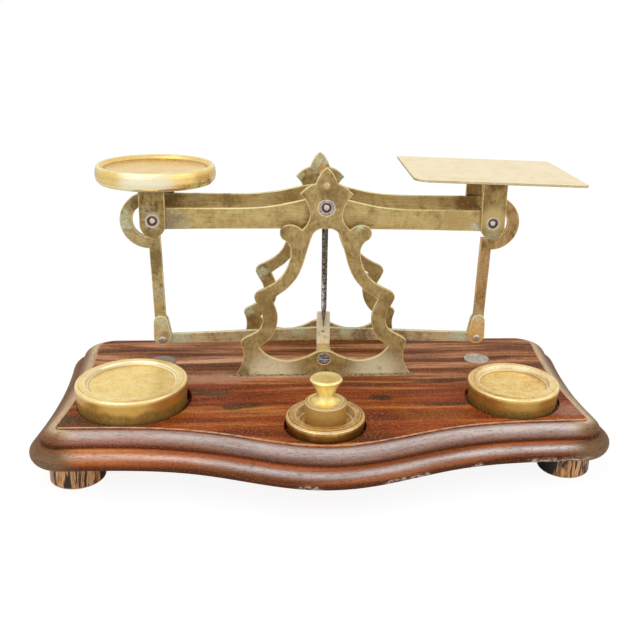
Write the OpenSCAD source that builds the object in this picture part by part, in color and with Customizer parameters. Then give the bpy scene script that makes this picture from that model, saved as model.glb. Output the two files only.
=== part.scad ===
// Postal scale: a brass letter balance on a moulded hardwood base, with four brass weights.
// Millimetres. Z is up, X runs along the beam, -Y is the front. The origin is on the surface
// the feet stand on, below the middle of the base.

/* [Base board] */
// Panel depth, from the tip of the front bulge to the back edge
panel_depth = 115; // [108:1:130]
// Half the panel's width at its narrow waist
waist_half = 110; // [104:1:122]
// How much wider each side gets half a depth away from the waist
side_flare = 5; // [1:0.1:8]
// Waist position, measured back from the middle of the panel
waist_back = 6; // [-8:1:12]
// How far the front bulge stands out
bulge = 19; // [12:1:22]
// Width scale of the front bulge
bulge_width = 45.5; // [36:0.5:52]
// Board thickness
board_t = 16.6; // [15:0.2:22]
// Radius of the panel's back corners
back_corner_r = 8; // [4:0.5:12]
// Radius of the moulding's outer front corners
front_corner_r = 15; // [11:0.5:17]
// How much wider the moulding is on the sides than along the front
side_widening = 1.2; // [1:0.05:1.4]
// Depth of the fine step round the panel
step_depth = 0.8; // [0.4:0.1:1.2]
// Radius of the upper roll of the moulding
roll_r = 5.2; // [4.4:0.1:5.4]
// Radius of the lower round of the moulding
lower_r = 4.2; // [3.4:0.1:4.4]
// How far the centre of the lower round lies outside the panel
lower_out = 5.9; // [5:0.1:8]

/* [Feet] */
// Foot diameter
foot_d = 23; // [18:0.5:26]
// Foot height
foot_h = 11.4; // [8:0.2:18]
// Half the distance between left and right feet
foot_x = 107; // [92:1:108]
// Distance of the front feet in front of the beam
front_foot_ahead = 64; // [50:1:66]
// Distance of the rear feet behind the beam
rear_foot_behind = 13; // [4:1:16]
// Chamfer round a foot's lower edge
foot_chamfer = 0.6; // [0.2:0.1:1.5]
// Shank diameter of the screws that hold the feet
foot_screw_d = 3.5; // [2.5:0.1:4.5]
// Head diameter of those screws
foot_screw_head_d = 7; // [6:0.1:9]
// How far their heads lie above the feet's undersides
foot_screw_sunk = 1; // [0.4:0.1:3]
// How deep they go into the board
foot_screw_bite = 9; // [5:0.5:12]

/* [Frame plates] */
// Distance from the panel's back edge to the middle of the mechanism
beam_set_in = 22.6; // [20:0.2:28]
// Distance from the middle of the mechanism to the middle of each frame plate
frame_y = 21.2; // [20.4:0.2:21.6]
// Frame plate thickness
frame_t = 2; // [1.6:0.1:2.4]
// Height of the centre pin above the panel
centre_z = 81.3; // [80.5:0.1:82.3]
// Tenon width, where a frame plate enters the board
tenon_w = 8; // [5:0.5:12]
// Tenon depth in the board
tenon_depth = 9; // [5:0.5:12]
// Distance of each tenon from the middle
tenon_x = 33; // [28:0.5:35]
// How far the rear plate's tip leans to the left
rear_lean = 1.2; // [0:0.1:2]
// Height above the panel of the pillar that ties the plates' tops
pillar_z = 91.4; // [90.6:0.1:92]
// Diameter of that pillar
pillar_d = 4.4; // [3.6:0.1:5]
// Diameter of the pillar's riveted ends
pillar_end_d = 3.2; // [2.4:0.1:3.4]

/* [Beam] */
// Distance from the centre pin to each end pin, along the beam
arm = 78; // [74:0.5:82]
// How far the centre pin lies above the line of the end pins
pin_rise = 7.6; // [6.6:0.1:8]
// Distance from the middle of the mechanism to the middle of each beam bar
bar_y = 16; // [15.6:0.1:16.3]
// Beam bar thickness
bar_t = 1.8; // [1.4:0.1:2]
// Height of a beam bar at its ends
bar_h = 10; // [8.4:0.2:10.4]
// Extra height of a beam bar over the centre pin
bar_swell = 5.6; // [4:0.2:7]
// Width scale of that swelling
bar_swell_w = 20; // [14:0.5:26]
// How far the bar's middle line lies above the end pins
bar_lift = 0.75; // [0:0.05:1.2]
// How far the bar's lower edge rises in the middle
bar_arch = 0.8; // [0:0.1:1.6]

/* [Pins and bearings] */
// Diameter of the centre pin
centre_pin_d = 3.2; // [2.6:0.1:3.6]
// Outer diameter of a centre bearing ring
centre_ring_d = 7.6; // [6.6:0.1:8.4]
// Diameter of the end pins
end_pin_d = 3; // [2.4:0.1:3.2]
// Outer diameter of an end bearing ring
end_ring_d = 6; // [5.4:0.1:6.8]
// Diameter of the recess round each pin's end
recess_d = 4.6; // [4.2:0.1:5]
// Depth of that recess
recess_depth = 0.7; // [0.4:0.1:0.9]
// Radial running clearance between a pin and its bearing
run_gap = 0.05; // [0.02:0.01:0.09]
// Radial clearance between a fixed pin and its hole
seat_gap = 0.01; // [0:0.01:0.03]
// Diameter of the stay's pins
stay_pin_d = 2; // [1.6:0.1:2.4]
// Diameter of a stay pin's head
stay_head_d = 3.8; // [3:0.1:4.4]
// Thickness of a stay pin's head
stay_head_t = 0.5; // [0.3:0.1:0.9]

/* [Pan brackets and stems] */
// Bracket width
bracket_w = 11.4; // [10:0.2:13]
// Bracket strip thickness
bracket_t = 1.5; // [1.2:0.1:1.5]
// Gap between a beam bar and the bracket leg outside it
leg_gap = 0.3; // [0.2:0.05:0.5]
// How far a bracket leg reaches below the end pin
leg_below = 7.6; // [6.6:0.2:9]
// Stem plate thickness
stem_t = 2.5; // [2.2:0.1:3]
// Width of the tongue that holds a stem in its bracket
tongue_w = 7; // [5:0.1:8]
// How far the tongue lies outside the end pin
tongue_out = 1.6; // [0.6:0.1:2]
// Stem width
stem_w = 5.3; // [4.4:0.1:6]
// How far the stem's top lies outside the line of the pins
stem_out = 1.9; // [1.4:0.1:2.2]
// How far the stem's foot lies outside that line
stem_foot_out = 0.6; // [0.2:0.1:1]
// Outer radius of the bow that goes round the end pin
bow_r = 13.4; // [12.8:0.1:14.4]
// Radial width of the bow
bow_w = 5.7; // [4.8:0.1:5.8]
// How far the bow's centre lies outside the end pin
bow_out = 4.2; // [3.8:0.1:4.4]
// How far the bow's centre lies below the end pin
bow_drop = 4.1; // [3.8:0.1:4.4]
// Height of the stay pins above the panel
stay_pin_z = 10.1; // [9.6:0.1:12]
// Clevis cheek width
cheek_w = 8.4; // [7:0.1:9.4]
// Clevis cheek width near its top
cheek_top_w = 6.8; // [5.6:0.1:8]
// Clevis cheek height
cheek_h = 15.2; // [14:0.2:18]
// Clevis cheek thickness
cheek_t = 1.4; // [1:0.1:1.8]
// How far a cheek reaches below its pin
cheek_below = 2.8; // [2.4:0.1:3.2]

/* [Stay and index] */
// Stay bar thickness
stay_t = 2; // [1.6:0.1:2.2]
// Stay bar height at its ends
stay_end_h = 4.8; // [4.2:0.1:5.6]
// Stay bar height in the middle
stay_mid_h = 6.3; // [5:0.1:7]
// How far the stay's middle rises above its ends
stay_lift = 2.4; // [1.6:0.1:3]
// Width of the stay's raised ear
ear_w = 5.6; // [4.6:0.1:6.2]
// Width of the index plate
index_w = 6.4; // [5.4:0.1:7.4]
// Index plate thickness
index_t = 1.2; // [0.9:0.1:1.5]
// Height of the index plate's top above the panel
index_top = 27.6; // [24:0.2:30]
// Distance of the index plate in front of the middle of the mechanism
index_ahead = 10; // [9:0.2:11]
// Height of the block that carries the index plate
block_h = 6.8; // [6.2:0.1:7.6]
// Height of the frame screw above the panel
screw_z = 7.8; // [7.2:0.1:8.2]
// Diameter of the frame screw's head
screw_head_d = 5.8; // [5:0.1:6.2]
// Diameter of the frame screw's shank
screw_d = 2.6; // [2:0.1:3]
// Width of the pointer at its top
pointer_w = 3.0; // [1.6:0.1:3]
// Pointer thickness
pointer_t = 1.1; // [0.8:0.1:1.4]
// Width of the ring that holds the pointer on the centre pin
pointer_ring_w = 1.5; // [1:0.1:2]
// Length over which the pointer narrows to its tip
pointer_taper_h = 10; // [10:1:30]
// Width of its tip
pointer_tip_w = 0.3; // [0.2:0.1:0.8]
// Gap between the pointer and the index plate
pointer_gap = 0.6; // [0.4:0.1:1]
// Height of the pointer's tip above the panel
pointer_tip_z = 20.6; // [19.6:0.2:23]

/* [Pan and letter plate] */
// Widest radius of the pan
pan_r = 27.3; // [23:0.1:30]
// How far the pan's rim lies inside that radius
pan_rim_in = 1.2; // [0.8:0.1:1.8]
// Pan height
pan_h = 8.3; // [7:0.1:10]
// Depth of the pan's dish
pan_dish = 2.5; // [1.5:0.1:3.5]
// Thickness of the pan's floor
pan_floor_t = 1.42; // [1:0.01:2]
// Thickness of the pan's wall
pan_wall = 1.7; // [1.2:0.01:2.6]
// Height of the pan's rim above the panel
pan_top = 96.6; // [94.6:0.2:99]
// Letter plate length
plate_l = 79.5; // [70:0.5:84]
// Letter plate width
plate_w = 64; // [56:1:70]
// Letter plate thickness
plate_t = 1; // [0.7:0.05:1.4]
// Radius of the letter plate's front left corner
plate_round_r = 7; // [3:0.5:12]
// Radius of its other corners
plate_corner_r = 2.5; // [1:0.5:8]
// How far the letter plate leans down to the right, in degrees
plate_lean = 1.3; // [0:0.1:2]
// Height of the letter plate's upper face above the panel
plate_top = 95.6; // [94:0.1:99]
// Radius of the grey stop discs
stop_r = 6.4; // [5:0.1:7]
// Thickness of the stop discs
stop_t = 0.8; // [0.5:0.1:1]
// Distance of the stop discs in front of the beam
stop_ahead = 6.2; // [4:0.2:7]

/* [Weights] */
// Distance of the large weight to the left of the middle
large_left = 85.2; // [82:0.1:87]
// Distance of the large weight in front of the beam
large_ahead = 48.8; // [46:0.1:50]
// How far the large weight stands left of its pocket's middle
large_shift = 1.1; // [0:0.1:1.1]
// Distance of the medium weight to the right of the middle
medium_right = 84.5; // [80:0.1:88]
// Distance of the medium weight in front of the beam
medium_ahead = 51.5; // [48:0.1:54]
// Distance of the small weight to the left of the middle
small_left = 1.8; // [-4:0.1:4]
// Distance of the small weight in front of the beam
small_ahead = 74.2; // [68:0.1:75]
// Radius of the large weight
large_r = 23.9; // [21:0.1:24.4]
// Height of the large weight above the panel
large_stand = 10.5; // [8:0.1:14]
// Depth of the large weight's pocket
large_pocket = 6.4; // [4:0.1:8]
// Radius of the medium weight
medium_r = 20.6; // [18:0.1:22]
// Height of the medium weight above the panel
medium_stand = 9.2; // [7:0.1:12]
// Depth of the medium weight's pocket
medium_pocket = 3; // [2:0.1:6]
// Radius of the small weight
small_r = 16.7; // [14.6:0.1:17.4]
// Height of the small weight above the panel
small_stand = 5.1; // [4.2:0.1:8]
// Depth of the small weight's pocket
small_pocket = 5.3; // [3:0.1:6.4]
// Depth of the hollow in the top of the large weight
large_hollow = 1.7; // [1.2:0.1:3.6]
// Depth of the hollow in the top of the medium weight
medium_hollow = 2.4; // [1.6:0.1:3.6]
// Depth of the hollow in the top of the small weight
small_hollow = 3.9; // [2:0.1:4.2]
// How much smaller a flat weight's radius is at its base
weight_taper = 1; // [0:0.1:2]
// Width of the flat rim round that hollow
rim_w = 4.2; // [3.2:0.1:5]
// Height of the band round a flat weight's top
band_h = 3.4; // [2:0.1:4]
// How far that band stands out
band_out = 0.3; // [0.1:0.1:0.6]
// Width of the fine step inside the band's edge
rim_step_w = 1; // [0.5:0.1:1.5]
// Height of that step
rim_step_h = 0.4; // [0.2:0.1:0.6]
// Size of the softened edges of the weights
weight_edge = 0.5; // [0.3:0.1:0.7]
// Body radius of the knob weight
knob_body_r = 8.85; // [7.6:0.05:9.6]
// Body height of the knob weight
knob_body_h = 9.9; // [8:0.1:11]
// Radius of the knob
knob_r = 6.8; // [5.6:0.1:7.8]
// Radius of the knob's neck
knob_neck_r = 4; // [3:0.1:4.6]
// Height of the knob above the body
knob_h = 11; // [9:0.1:13]
// Radial play of a weight in its pocket
pocket_play = 1.2; // [0.6:0.1:1.6]

/* [Hidden] */

$fn = 64;
// How far cuts run past the faces they open
past = 1;
// Smallest radius of the panel's front corners
mitre_r = 0.6;

half_depth = panel_depth / 2;
panel_z = foot_h + board_t;
// The mechanism's middle plane
mech_y = half_depth - beam_set_in;
// Heights of the pins above the floor
centre_pin_z = panel_z + centre_z;
end_pin_z = centre_pin_z - pin_rise;
stay_end_z = panel_z + stay_pin_z;
// The stay repeats the beam's triangle of pins, which makes a true parallelogram
stay_pivot_z = stay_end_z + pin_rise;

// Outline of the board
corner_y = -(half_depth - bulge);
function side_at(y) = waist_half + side_flare * pow((y - waist_back) / half_depth, 2);
function side_slope(y) = 2 * side_flare * (y - waist_back) / pow(half_depth, 2);
function front_at(x) = corner_y - bulge * exp(-pow(x / bulge_width, 2));
function front_slope(x) = 2 * bulge * x / pow(bulge_width, 2) * exp(-pow(x / bulge_width, 2));
function unit(v) = v / norm(v);
front_n = 44;
side_n = 8;
front_arc_n = 6;
back_arc_n = 6;
// The sampled stretches stop short of the corners, which have arcs of their own
corner_x = side_at(corner_y);
back_x = side_at(half_depth);
lower_reach = lower_out + lower_r;
front_to = corner_x - 1.25 * max(front_corner_r - lower_reach, mitre_r) - 1;
side_from = corner_y + front_corner_r;
side_to = half_depth - 1.2 * back_corner_r - 1;

function front_stretch(d) = [for (i = [0:front_n])
  let (x = front_to * (2 * i / front_n - 1))
  [x, front_at(x)] + d * unit([front_slope(x), -1])];
function right_stretch(d) = [for (i = [0:side_n])
  let (y = side_from + (side_to - side_from) * i / side_n)
  [side_at(y), y] + side_widening * d * unit([1, -side_slope(y)])];
// An arc of radius r inside the corner p: the edges with outward normals a and b lie
// da and db outside it
function corner_arc(p, a, b, da, db, r, n) =
  let (k = a * b, u = ((da - r) - k * (db - r)) / (1 - k * k),
       v = ((db - r) - k * (da - r)) / (1 - k * k))
  arc(p + u * a + v * b, r, atan2(a[1], a[0]), atan2(b[1], b[0]), n);
function front_corner(d) = corner_arc([corner_x, front_at(corner_x)],
  unit([front_slope(corner_x), -1]), unit([1, -side_slope(corner_y)]), d, side_widening * d,
  max(front_corner_r + d - lower_reach, mitre_r), front_arc_n);
function back_corner(d) = corner_arc([back_x, half_depth], unit([1, -side_slope(half_depth)]),
  [0, 1], side_widening * d, d, back_corner_r + d, back_arc_n);
function flipped(pts) = [for (i = [len(pts) - 1:-1:0]) [-pts[i][0], pts[i][1]]];
function right_half(d) = concat(front_corner(d), right_stretch(d), back_corner(d));
function outline(d) = concat(front_stretch(d), right_half(d), flipped(right_half(d)));

// Moulding profile, a closed loop: distance outside the panel edge, and height above the
// floor. Its inner side lies within the panel and the sole that carry it.
overlap = 2;
sole_h = 4;
sole_in = 0.5;
sole_drop = 0.2;
roll_in = 0.6;
roll_top_z = panel_z - step_depth - 0.2;
roll_z = roll_top_z - roll_r;
lower_z = foot_h + sole_drop + lower_r;
groove_in = 0.8;
profile = concat(
  [[-overlap, panel_z - step_depth]],
  [for (t = [88, 62, 40, 18, 0]) [roll_in + roll_r * cos(t), roll_z + roll_r * sin(t)]],
  [[roll_in + roll_r - groove_in, roll_z - 0.5]],
  [for (t = [100, 72, 46, 20, -5, -32, -60, -86])
    [lower_out + lower_r * cos(t), lower_z + lower_r * sin(t)]],
  [[overlap, lower_z - lower_r], [-overlap, foot_h + sole_h + overlap]]);

// Points along an arc
function arc(c, r, from, to, n) =
  [for (i = [0:n]) let (t = from + (to - from) * i / n) c + r * [cos(t), sin(t)]];

// A smooth curve through chosen points
function between(a, b, c, d, t) = 0.5 * (2 * b + (c - a) * t + (2 * a - 5 * b + 4 * c - d) * t * t
  + (3 * b - a - 3 * c + d) * t * t * t);
function smooth(p, n = 4) = [for (i = [0:len(p) - 2]) for (k = [0:n - 1])
  between(p[max(i - 1, 0)], p[i], p[i + 1], p[min(i + 2, len(p) - 1)], k / n)];

// Right half of a frame plate, from the middle outwards; heights are above the panel
finial = [[0, 99.6], [2, 97.9], [3.9, 94.9], [4.9, 92.3]];
shoulder = [[4.9, 92.3], [8.7, 90.6], [12, 87.5]];
waist = [[12, 87.5], [9.6, 84.6], [7.9, 80.6], [7.5, 77], [8.8, 73.4], [10.9, 71]];
ball = [[10.9, 71], [13.6, 72.8], [17, 73.3], [20, 72], [21, 69.4], [20, 66.8], [17.8, 65.2],
  [16.2, 62.2], [16.2, 58], [17.6, 53.2], [20, 48.9], [23.5, 45.6], [27.6, 43.2], [31.4, 41.2],
  [32.8, 38.7], [31.5, 35.3], [29.3, 31], [29, 26.6], [30.5, 22.8], [34, 20.4], [38, 18.2],
  [39.2, 16.2], [38.1, 12], [38.3, 7.2], [40, 2.6], [41.7, 0]];
arch = [[0, 71.7], [2.9, 71.4], [5.6, 69.5], [7.2, 65.5], [8.8, 60], [10.6, 53.9], [13.4, 47.9],
  [17.5, 43], [21.2, 40.2], [24.8, 37.6]];
knee_inside = [[24.8, 37.6], [22.9, 33], [22, 28.2], [23, 22.7], [26, 17.6], [30.8, 13.9]];
sill = [[30.8, 13.9], [27.2, 9.8], [21.3, 7.2], [15.2, 6.8], [8.5, 8.7], [3.2, 11.3], [0, 11.9]];
outer_edge = concat(smooth(finial), smooth(shoulder), smooth(waist), smooth(ball), [[41.7, 0]]);
tenon = [[tenon_x + tenon_w / 2, 0], [tenon_x + tenon_w / 2, -tenon_depth],
  [tenon_x - tenon_w / 2, -tenon_depth], [tenon_x - tenon_w / 2, 0]];
inner_edge = concat(smooth(arch), smooth(knee_inside), smooth(sill));
frame_tip = finial[0][1];
function leaning(pts, lean) = [for (p = pts) [p[0] + lean * p[1] / frame_tip, p[1]]];

// Beam bar outline, heights above the end pins
bar_n = 40;
function bar_top(x) = bar_lift + bar_h / 2
  + bar_swell * (exp(-pow(x / bar_swell_w, 2)) - exp(-pow(arm / bar_swell_w, 2)));
function bar_low(x) = bar_lift - bar_h / 2 + bar_arch * (1 - pow(x / arm, 2));

// Bracket legs stand just outside the beam bars
leg_in = bar_y + bar_t / 2 + leg_gap;
leg_out = leg_in + bracket_t;
pan_rim_r = pan_r - pan_rim_in;
// Tops of the brackets above the end pins, where the pan's floor and the lower side of the
// leaning letter plate rest
pan_seat = pan_top - pan_dish - pan_floor_t + panel_z - end_pin_z;
plate_seat = plate_top - plate_t / cos(plate_lean) - tan(plate_lean) * bracket_w / 2
  + panel_z - end_pin_z;
// The straight stem starts below the inside of the bow and ends above the stay's end
bow_at = [bow_out, -bow_drop];
bow_in = bow_r - bow_w;
// The bow's inside runs round to where the shoulder and the tongue cut it off
bow_cut = bow_in - 0.3;
bow_end = 180 - asin(bow_cut / bow_in);
stem_high = -bow_drop - bow_cut;
tongue_low = -bow_drop + bow_cut;
stem_low = stay_end_z - end_pin_z + stay_end_h / 2 + 0.8;
cheek_gap = stem_t / 2;

// Places of the weights on the panel
large_pos = [-large_left, mech_y - large_ahead];
large_pocket_pos = large_pos + [large_shift, 0];
medium_pos = [medium_right, mech_y - medium_ahead];
small_pos = [-small_left, mech_y - small_ahead];
block_z = panel_z + screw_z;
pointer_y = mech_y - index_ahead - index_t - pointer_gap - pointer_t / 2;

// A plate standing in the XZ plane: its outline is drawn in X and Z, y0 is its front face
module upright(y0, t) {
  translate([0, y0 + t, 0]) rotate([90, 0, 0]) linear_extrude(t) children();
}

// A bar along Y between two faces
module rod(x, z, d, y0, y1) {
  translate([x, y1, z]) rotate([90, 0, 0]) cylinder(d = d, h = y1 - y0);
}

// The moulding runs round the board in one closed sweep
module moulding() {
  rings = [for (p = profile) [for (q = outline(p[0])) [q[0], q[1], p[1]]]];
  n = len(rings[0]);
  m = len(rings);
  polyhedron(points = [for (r = rings) for (p = r) p],
    faces = [for (k = [0:m - 1]) for (i = [0:n - 1]) for (upper = [0, 1])
      let (j = (i + 1) % n, l = (k + 1) % m)
      upper == 1 ? [k * n + i, k * n + j, l * n + j] : [k * n + i, l * n + j, l * n + i]]);
}

module board_solid() {
  translate([0, 0, foot_h + overlap]) linear_extrude(board_t - overlap) polygon(outline(0));
  translate([0, 0, foot_h]) linear_extrude(sole_h) polygon(outline(lower_out - sole_in));
  moulding();
}

module pocket(pos, r, depth) {
  translate([pos[0], pos[1], panel_z - depth]) cylinder(r = r, h = depth + past);
}

module base_board() color([0.33, 0.13, 0.08]) difference() {
  board_solid();
  pocket(large_pocket_pos, large_r + pocket_play, large_pocket);
  pocket(medium_pos, medium_r + pocket_play, medium_pocket);
  pocket(small_pos, small_r + pocket_play, small_pocket);
  for (side = [-1, 1]) for (x = [-1, 1])
    translate([x * tenon_x - tenon_w / 2, mech_y + side * frame_y - frame_t / 2,
      panel_z - tenon_depth])
      cube([tenon_w, frame_t, tenon_depth + past]);
  for (p = foot_places) translate([p[0], p[1], foot_h - past])
    cylinder(d = foot_screw_d + 2 * seat_gap, h = foot_screw_bite + past);
}

foot_places = [[-foot_x, mech_y - front_foot_ahead], [foot_x, mech_y - front_foot_ahead],
  [-foot_x, mech_y + rear_foot_behind], [foot_x, mech_y + rear_foot_behind]];
// Height of a countersunk head, which has sides at 45 degrees
foot_head_h = (foot_screw_head_d - foot_screw_d) / 2;

module foot(i) color([0.45, 0.28, 0.15]) translate([foot_places[i][0], foot_places[i][1], 0])
  difference() {
    union() {
      cylinder(d1 = foot_d - 2 * foot_chamfer, d2 = foot_d, h = foot_chamfer);
      translate([0, 0, foot_chamfer]) cylinder(d = foot_d, h = foot_h - foot_chamfer);
    }
    translate([0, 0, -past])
      cylinder(d = foot_screw_head_d + 2 * seat_gap, h = foot_screw_sunk + past);
    translate([0, 0, foot_screw_sunk]) cylinder(d1 = foot_screw_head_d + 2 * seat_gap,
      d2 = foot_screw_d + 2 * seat_gap, h = foot_head_h);
    cylinder(d = foot_screw_d + 2 * seat_gap, h = foot_h + past);
  }

module foot_front_left() foot(0);
module foot_front_right() foot(1);
module foot_rear_left() foot(2);
module foot_rear_right() foot(3);

// Countersunk screws that hold the feet, with a slot across each head
module foot_screws() color([0.45, 0.42, 0.38]) for (p = foot_places)
  translate([p[0], p[1], foot_screw_sunk]) difference() {
    union() {
      cylinder(d1 = foot_screw_head_d, d2 = foot_screw_d, h = foot_head_h);
      translate([0, 0, foot_head_h])
        cylinder(d = foot_screw_d,
          h = foot_h - foot_head_h - foot_screw_sunk + foot_screw_bite - 0.4);
    }
    translate([-foot_screw_head_d, -0.5, -past]) cube([2 * foot_screw_head_d, 1, 0.8 + past]);
  }

// One lyre-shaped plate; side is -1 for the front one and 1 for the rear one
module frame(side, lean) color([0.66, 0.55, 0.32]) difference() {
  translate([0, 0, panel_z]) upright(mech_y + side * frame_y - frame_t / 2, frame_t) {
    difference() {
      polygon(concat(leaning(outer_edge, lean), tenon, flipped(tenon),
        leaning(flipped(outer_edge), lean)));
      polygon(leaning(concat(inner_edge, [[0, 11.9]], flipped(inner_edge)), lean));
    }
  }
  through_frame(side, centre_pin_z, centre_ring_d);
  through_frame(side, panel_z + pillar_z, pillar_end_d);
  if (side < 0) {
    through_frame(side, block_z, screw_d);
    rod(0, block_z, screw_head_d + 4 * run_gap, mech_y - frame_y - frame_t, mech_y - frame_y);
  }
}

module through_frame(side, z, d) rod(0, z, d + 2 * seat_gap,
  mech_y + side * frame_y - frame_t, mech_y + side * frame_y + frame_t);

module front_frame() frame(-1, 0);
module rear_frame() frame(1, -rear_lean);

// Round pillar between the plates' tops, with riveted ends
module frame_pillar() color([0.8, 0.6, 0.3]) {
  rod(0, panel_z + pillar_z, pillar_d, mech_y - frame_y + frame_t / 2, mech_y + frame_y - frame_t / 2);
  rod(0, panel_z + pillar_z, pillar_end_d, mech_y - frame_y - frame_t / 2, mech_y + frame_y + frame_t / 2);
}

// A bearing ring with a recess round the pin's end on its outer face
module ring(z, d, bore, y, t, side) color([0.5, 0.45, 0.43]) difference() {
  rod(0, z, d, y - t / 2, y + t / 2);
  rod(0, z, bore, y - t, y + t);
  rod(0, z, recess_d, y + side * t / 2 - recess_depth, y + side * t / 2 + recess_depth);
}

module centre_bearing(side) ring(centre_pin_z, centre_ring_d, centre_pin_d + 2 * run_gap,
  mech_y + side * frame_y, frame_t, side);
module front_centre_bearing() centre_bearing(-1);
module rear_centre_bearing() centre_bearing(1);

module index_block() color([0.6, 0.5, 0.3]) difference() {
  translate([-index_w / 2, mech_y - frame_y + frame_t / 2, block_z - block_h / 2])
    cube([index_w, frame_y - frame_t / 2 - index_ahead - index_t, block_h]);
  rod(0, block_z, screw_d + 2 * seat_gap, mech_y - frame_y, mech_y - index_ahead);
}

module index_plate() color([0.72, 0.66, 0.46]) difference() {
  translate([-index_w / 2, mech_y - index_ahead - index_t, block_z - block_h / 2])
    cube([index_w, index_t, index_top - screw_z + block_h / 2]);
  rod(0, block_z, screw_d + 2 * seat_gap, mech_y - frame_y, mech_y);
  rod(0, stay_pivot_z, stay_pin_d + 2 * seat_gap, mech_y - frame_y, mech_y);
}

module frame_screw() color([0.4, 0.4, 0.42]) difference() {
  union() {
    rod(0, block_z, screw_head_d, mech_y - frame_y - frame_t / 2, mech_y - frame_y);
    rod(0, block_z, screw_d, mech_y - frame_y - past / 2, mech_y - index_ahead);
  }
  translate([-screw_head_d, mech_y - frame_y - frame_t, block_z - 0.4])
    cube([2 * screw_head_d, frame_t / 2 + 0.5, 0.8]);
}

// Shouldered pin, riveted in the index plate, on which the stay turns
module stay_pivot() color([0.55, 0.55, 0.57]) {
  rod(0, stay_pivot_z, stay_pin_d, mech_y - index_ahead - index_t, mech_y + stay_t / 2 + 0.3);
  rod(0, stay_pivot_z, stay_head_d, mech_y - index_ahead, mech_y - stay_t / 2 - 0.2);
  rod(0, stay_pivot_z, stay_head_d, mech_y + stay_t / 2 + 0.2,
    mech_y + stay_t / 2 + 0.2 + stay_head_t);
}

module stop_disc(side) color([0.5, 0.5, 0.5])
  translate([side * arm, mech_y - stop_ahead, panel_z]) cylinder(r = stop_r, h = stop_t);
module left_stop_disc() stop_disc(-1);
module right_stop_disc() stop_disc(1);

module beam_bar(side) color([0.66, 0.56, 0.33]) difference() {
  translate([0, 0, end_pin_z]) upright(mech_y + side * bar_y - bar_t / 2, bar_t) {
    polygon(concat(arc([-arm, bar_lift], bar_h / 2, 270, 90, 16),
      [for (i = [1:bar_n - 1]) let (x = arm * (2 * i / bar_n - 1)) [x, bar_top(x)]],
      arc([arm, bar_lift], bar_h / 2, 90, -90, 16),
      [for (i = [bar_n - 4:-4:4]) let (x = arm * (2 * i / bar_n - 1)) [x, bar_low(x)]]));
  }
  rod(0, centre_pin_z, centre_pin_d + 2 * seat_gap, mech_y + side * bar_y - bar_t,
    mech_y + side * bar_y + bar_t);
  for (x = [-arm, arm]) rod(x, end_pin_z, end_pin_d + 2 * seat_gap,
    mech_y + side * bar_y - bar_t, mech_y + side * bar_y + bar_t);
}

module front_beam_bar() beam_bar(-1);
module rear_beam_bar() beam_bar(1);

module centre_pin() color([0.7, 0.7, 0.72]) rod(0, centre_pin_z, centre_pin_d,
  mech_y - frame_y - frame_t / 2 + 0.2, mech_y + frame_y + frame_t / 2 - 0.2);

module end_pin(side) color([0.7, 0.7, 0.72]) rod(side * arm, end_pin_z, end_pin_d,
  mech_y - leg_out + 0.1, mech_y + leg_out - 0.1);
module left_end_pin() end_pin(-1);
module right_end_pin() end_pin(1);

// Needle that hangs from a boss on the centre pin
module pointer() color([0.2, 0.2, 0.2]) difference() {
  union() {
    rod(0, centre_pin_z, centre_pin_d + 2 * pointer_ring_w, pointer_y - pointer_t, pointer_y + pointer_t);
    upright(pointer_y - pointer_t / 2, pointer_t) polygon([
      [-pointer_w / 2, centre_pin_z], [pointer_w / 2, centre_pin_z],
      [pointer_w / 2.4, panel_z + pointer_tip_z + pointer_taper_h],
      [pointer_tip_w / 2, panel_z + pointer_tip_z], [-pointer_tip_w / 2, panel_z + pointer_tip_z],
      [-pointer_w / 2.4, panel_z + pointer_tip_z + pointer_taper_h]]);
  }
  rod(0, centre_pin_z, centre_pin_d + 2 * seat_gap, pointer_y - 2 * pointer_t,
    pointer_y + 2 * pointer_t);
}

// Inverted U of strip: two legs on the end pin, and a web that carries the pan or plate
module bracket(side, seat) color([0.62, 0.52, 0.3]) translate([side * arm, mech_y, end_pin_z])
  difference() {
    union() {
      for (s = [-1, 1]) upright(s * (leg_in + leg_out) / 2 - bracket_t / 2, bracket_t) {
        translate([-bracket_w / 2, bracket_w / 2 - leg_below])
          square([bracket_w, seat - bracket_w / 2 + leg_below]);
        translate([0, bracket_w / 2 - leg_below]) circle(d = bracket_w);
      }
      translate([-bracket_w / 2, -leg_out, seat - bracket_t])
        cube([bracket_w, 2 * leg_out, bracket_t]);
    }
    rod(0, 0, end_ring_d + 2 * seat_gap, -leg_out - past, leg_out + past);
    translate([-tongue_w / 2 + side * tongue_out, -stem_t / 2, seat - bracket_t - past])
      cube([tongue_w, stem_t, bracket_t + 2 * past]);
  }

module left_bracket() bracket(-1, pan_seat);
module right_bracket() bracket(1, plate_seat);

module bearings(side) for (s = [-1, 1]) translate([side * arm, 0, 0])
  ring(end_pin_z, end_ring_d, end_pin_d + 2 * run_gap, mech_y + s * (leg_in + leg_out) / 2,
    bracket_t, s);
module left_bearings() bearings(-1);
module right_bearings() bearings(1);

// Flat plate bowed outwards round the end pin, then down to the clevis with a square
// shoulder on its inner side
module stem(side, seat) color([0.64, 0.54, 0.32])
  translate([side * arm, mech_y, end_pin_z]) mirror([side < 0 ? 1 : 0, 0, 0])
  upright(-stem_t / 2, stem_t) polygon(concat(
    [[tongue_out - tongue_w / 2, tongue_low], [tongue_out - tongue_w / 2, seat],
     [tongue_out + tongue_w / 2, seat]],
    arc(bow_at, bow_r, acos((tongue_out + tongue_w / 2 - bow_out) / bow_r),
      -acos((stem_out + stem_w / 2 - bow_out) / bow_r), 28),
    [[stem_foot_out + stem_w / 2, stem_low], [stem_foot_out - stem_w / 2, stem_low],
     [stem_out - stem_w / 2, stem_high]],
    arc(bow_at, bow_in, -bow_end, bow_end, 24)));

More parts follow.
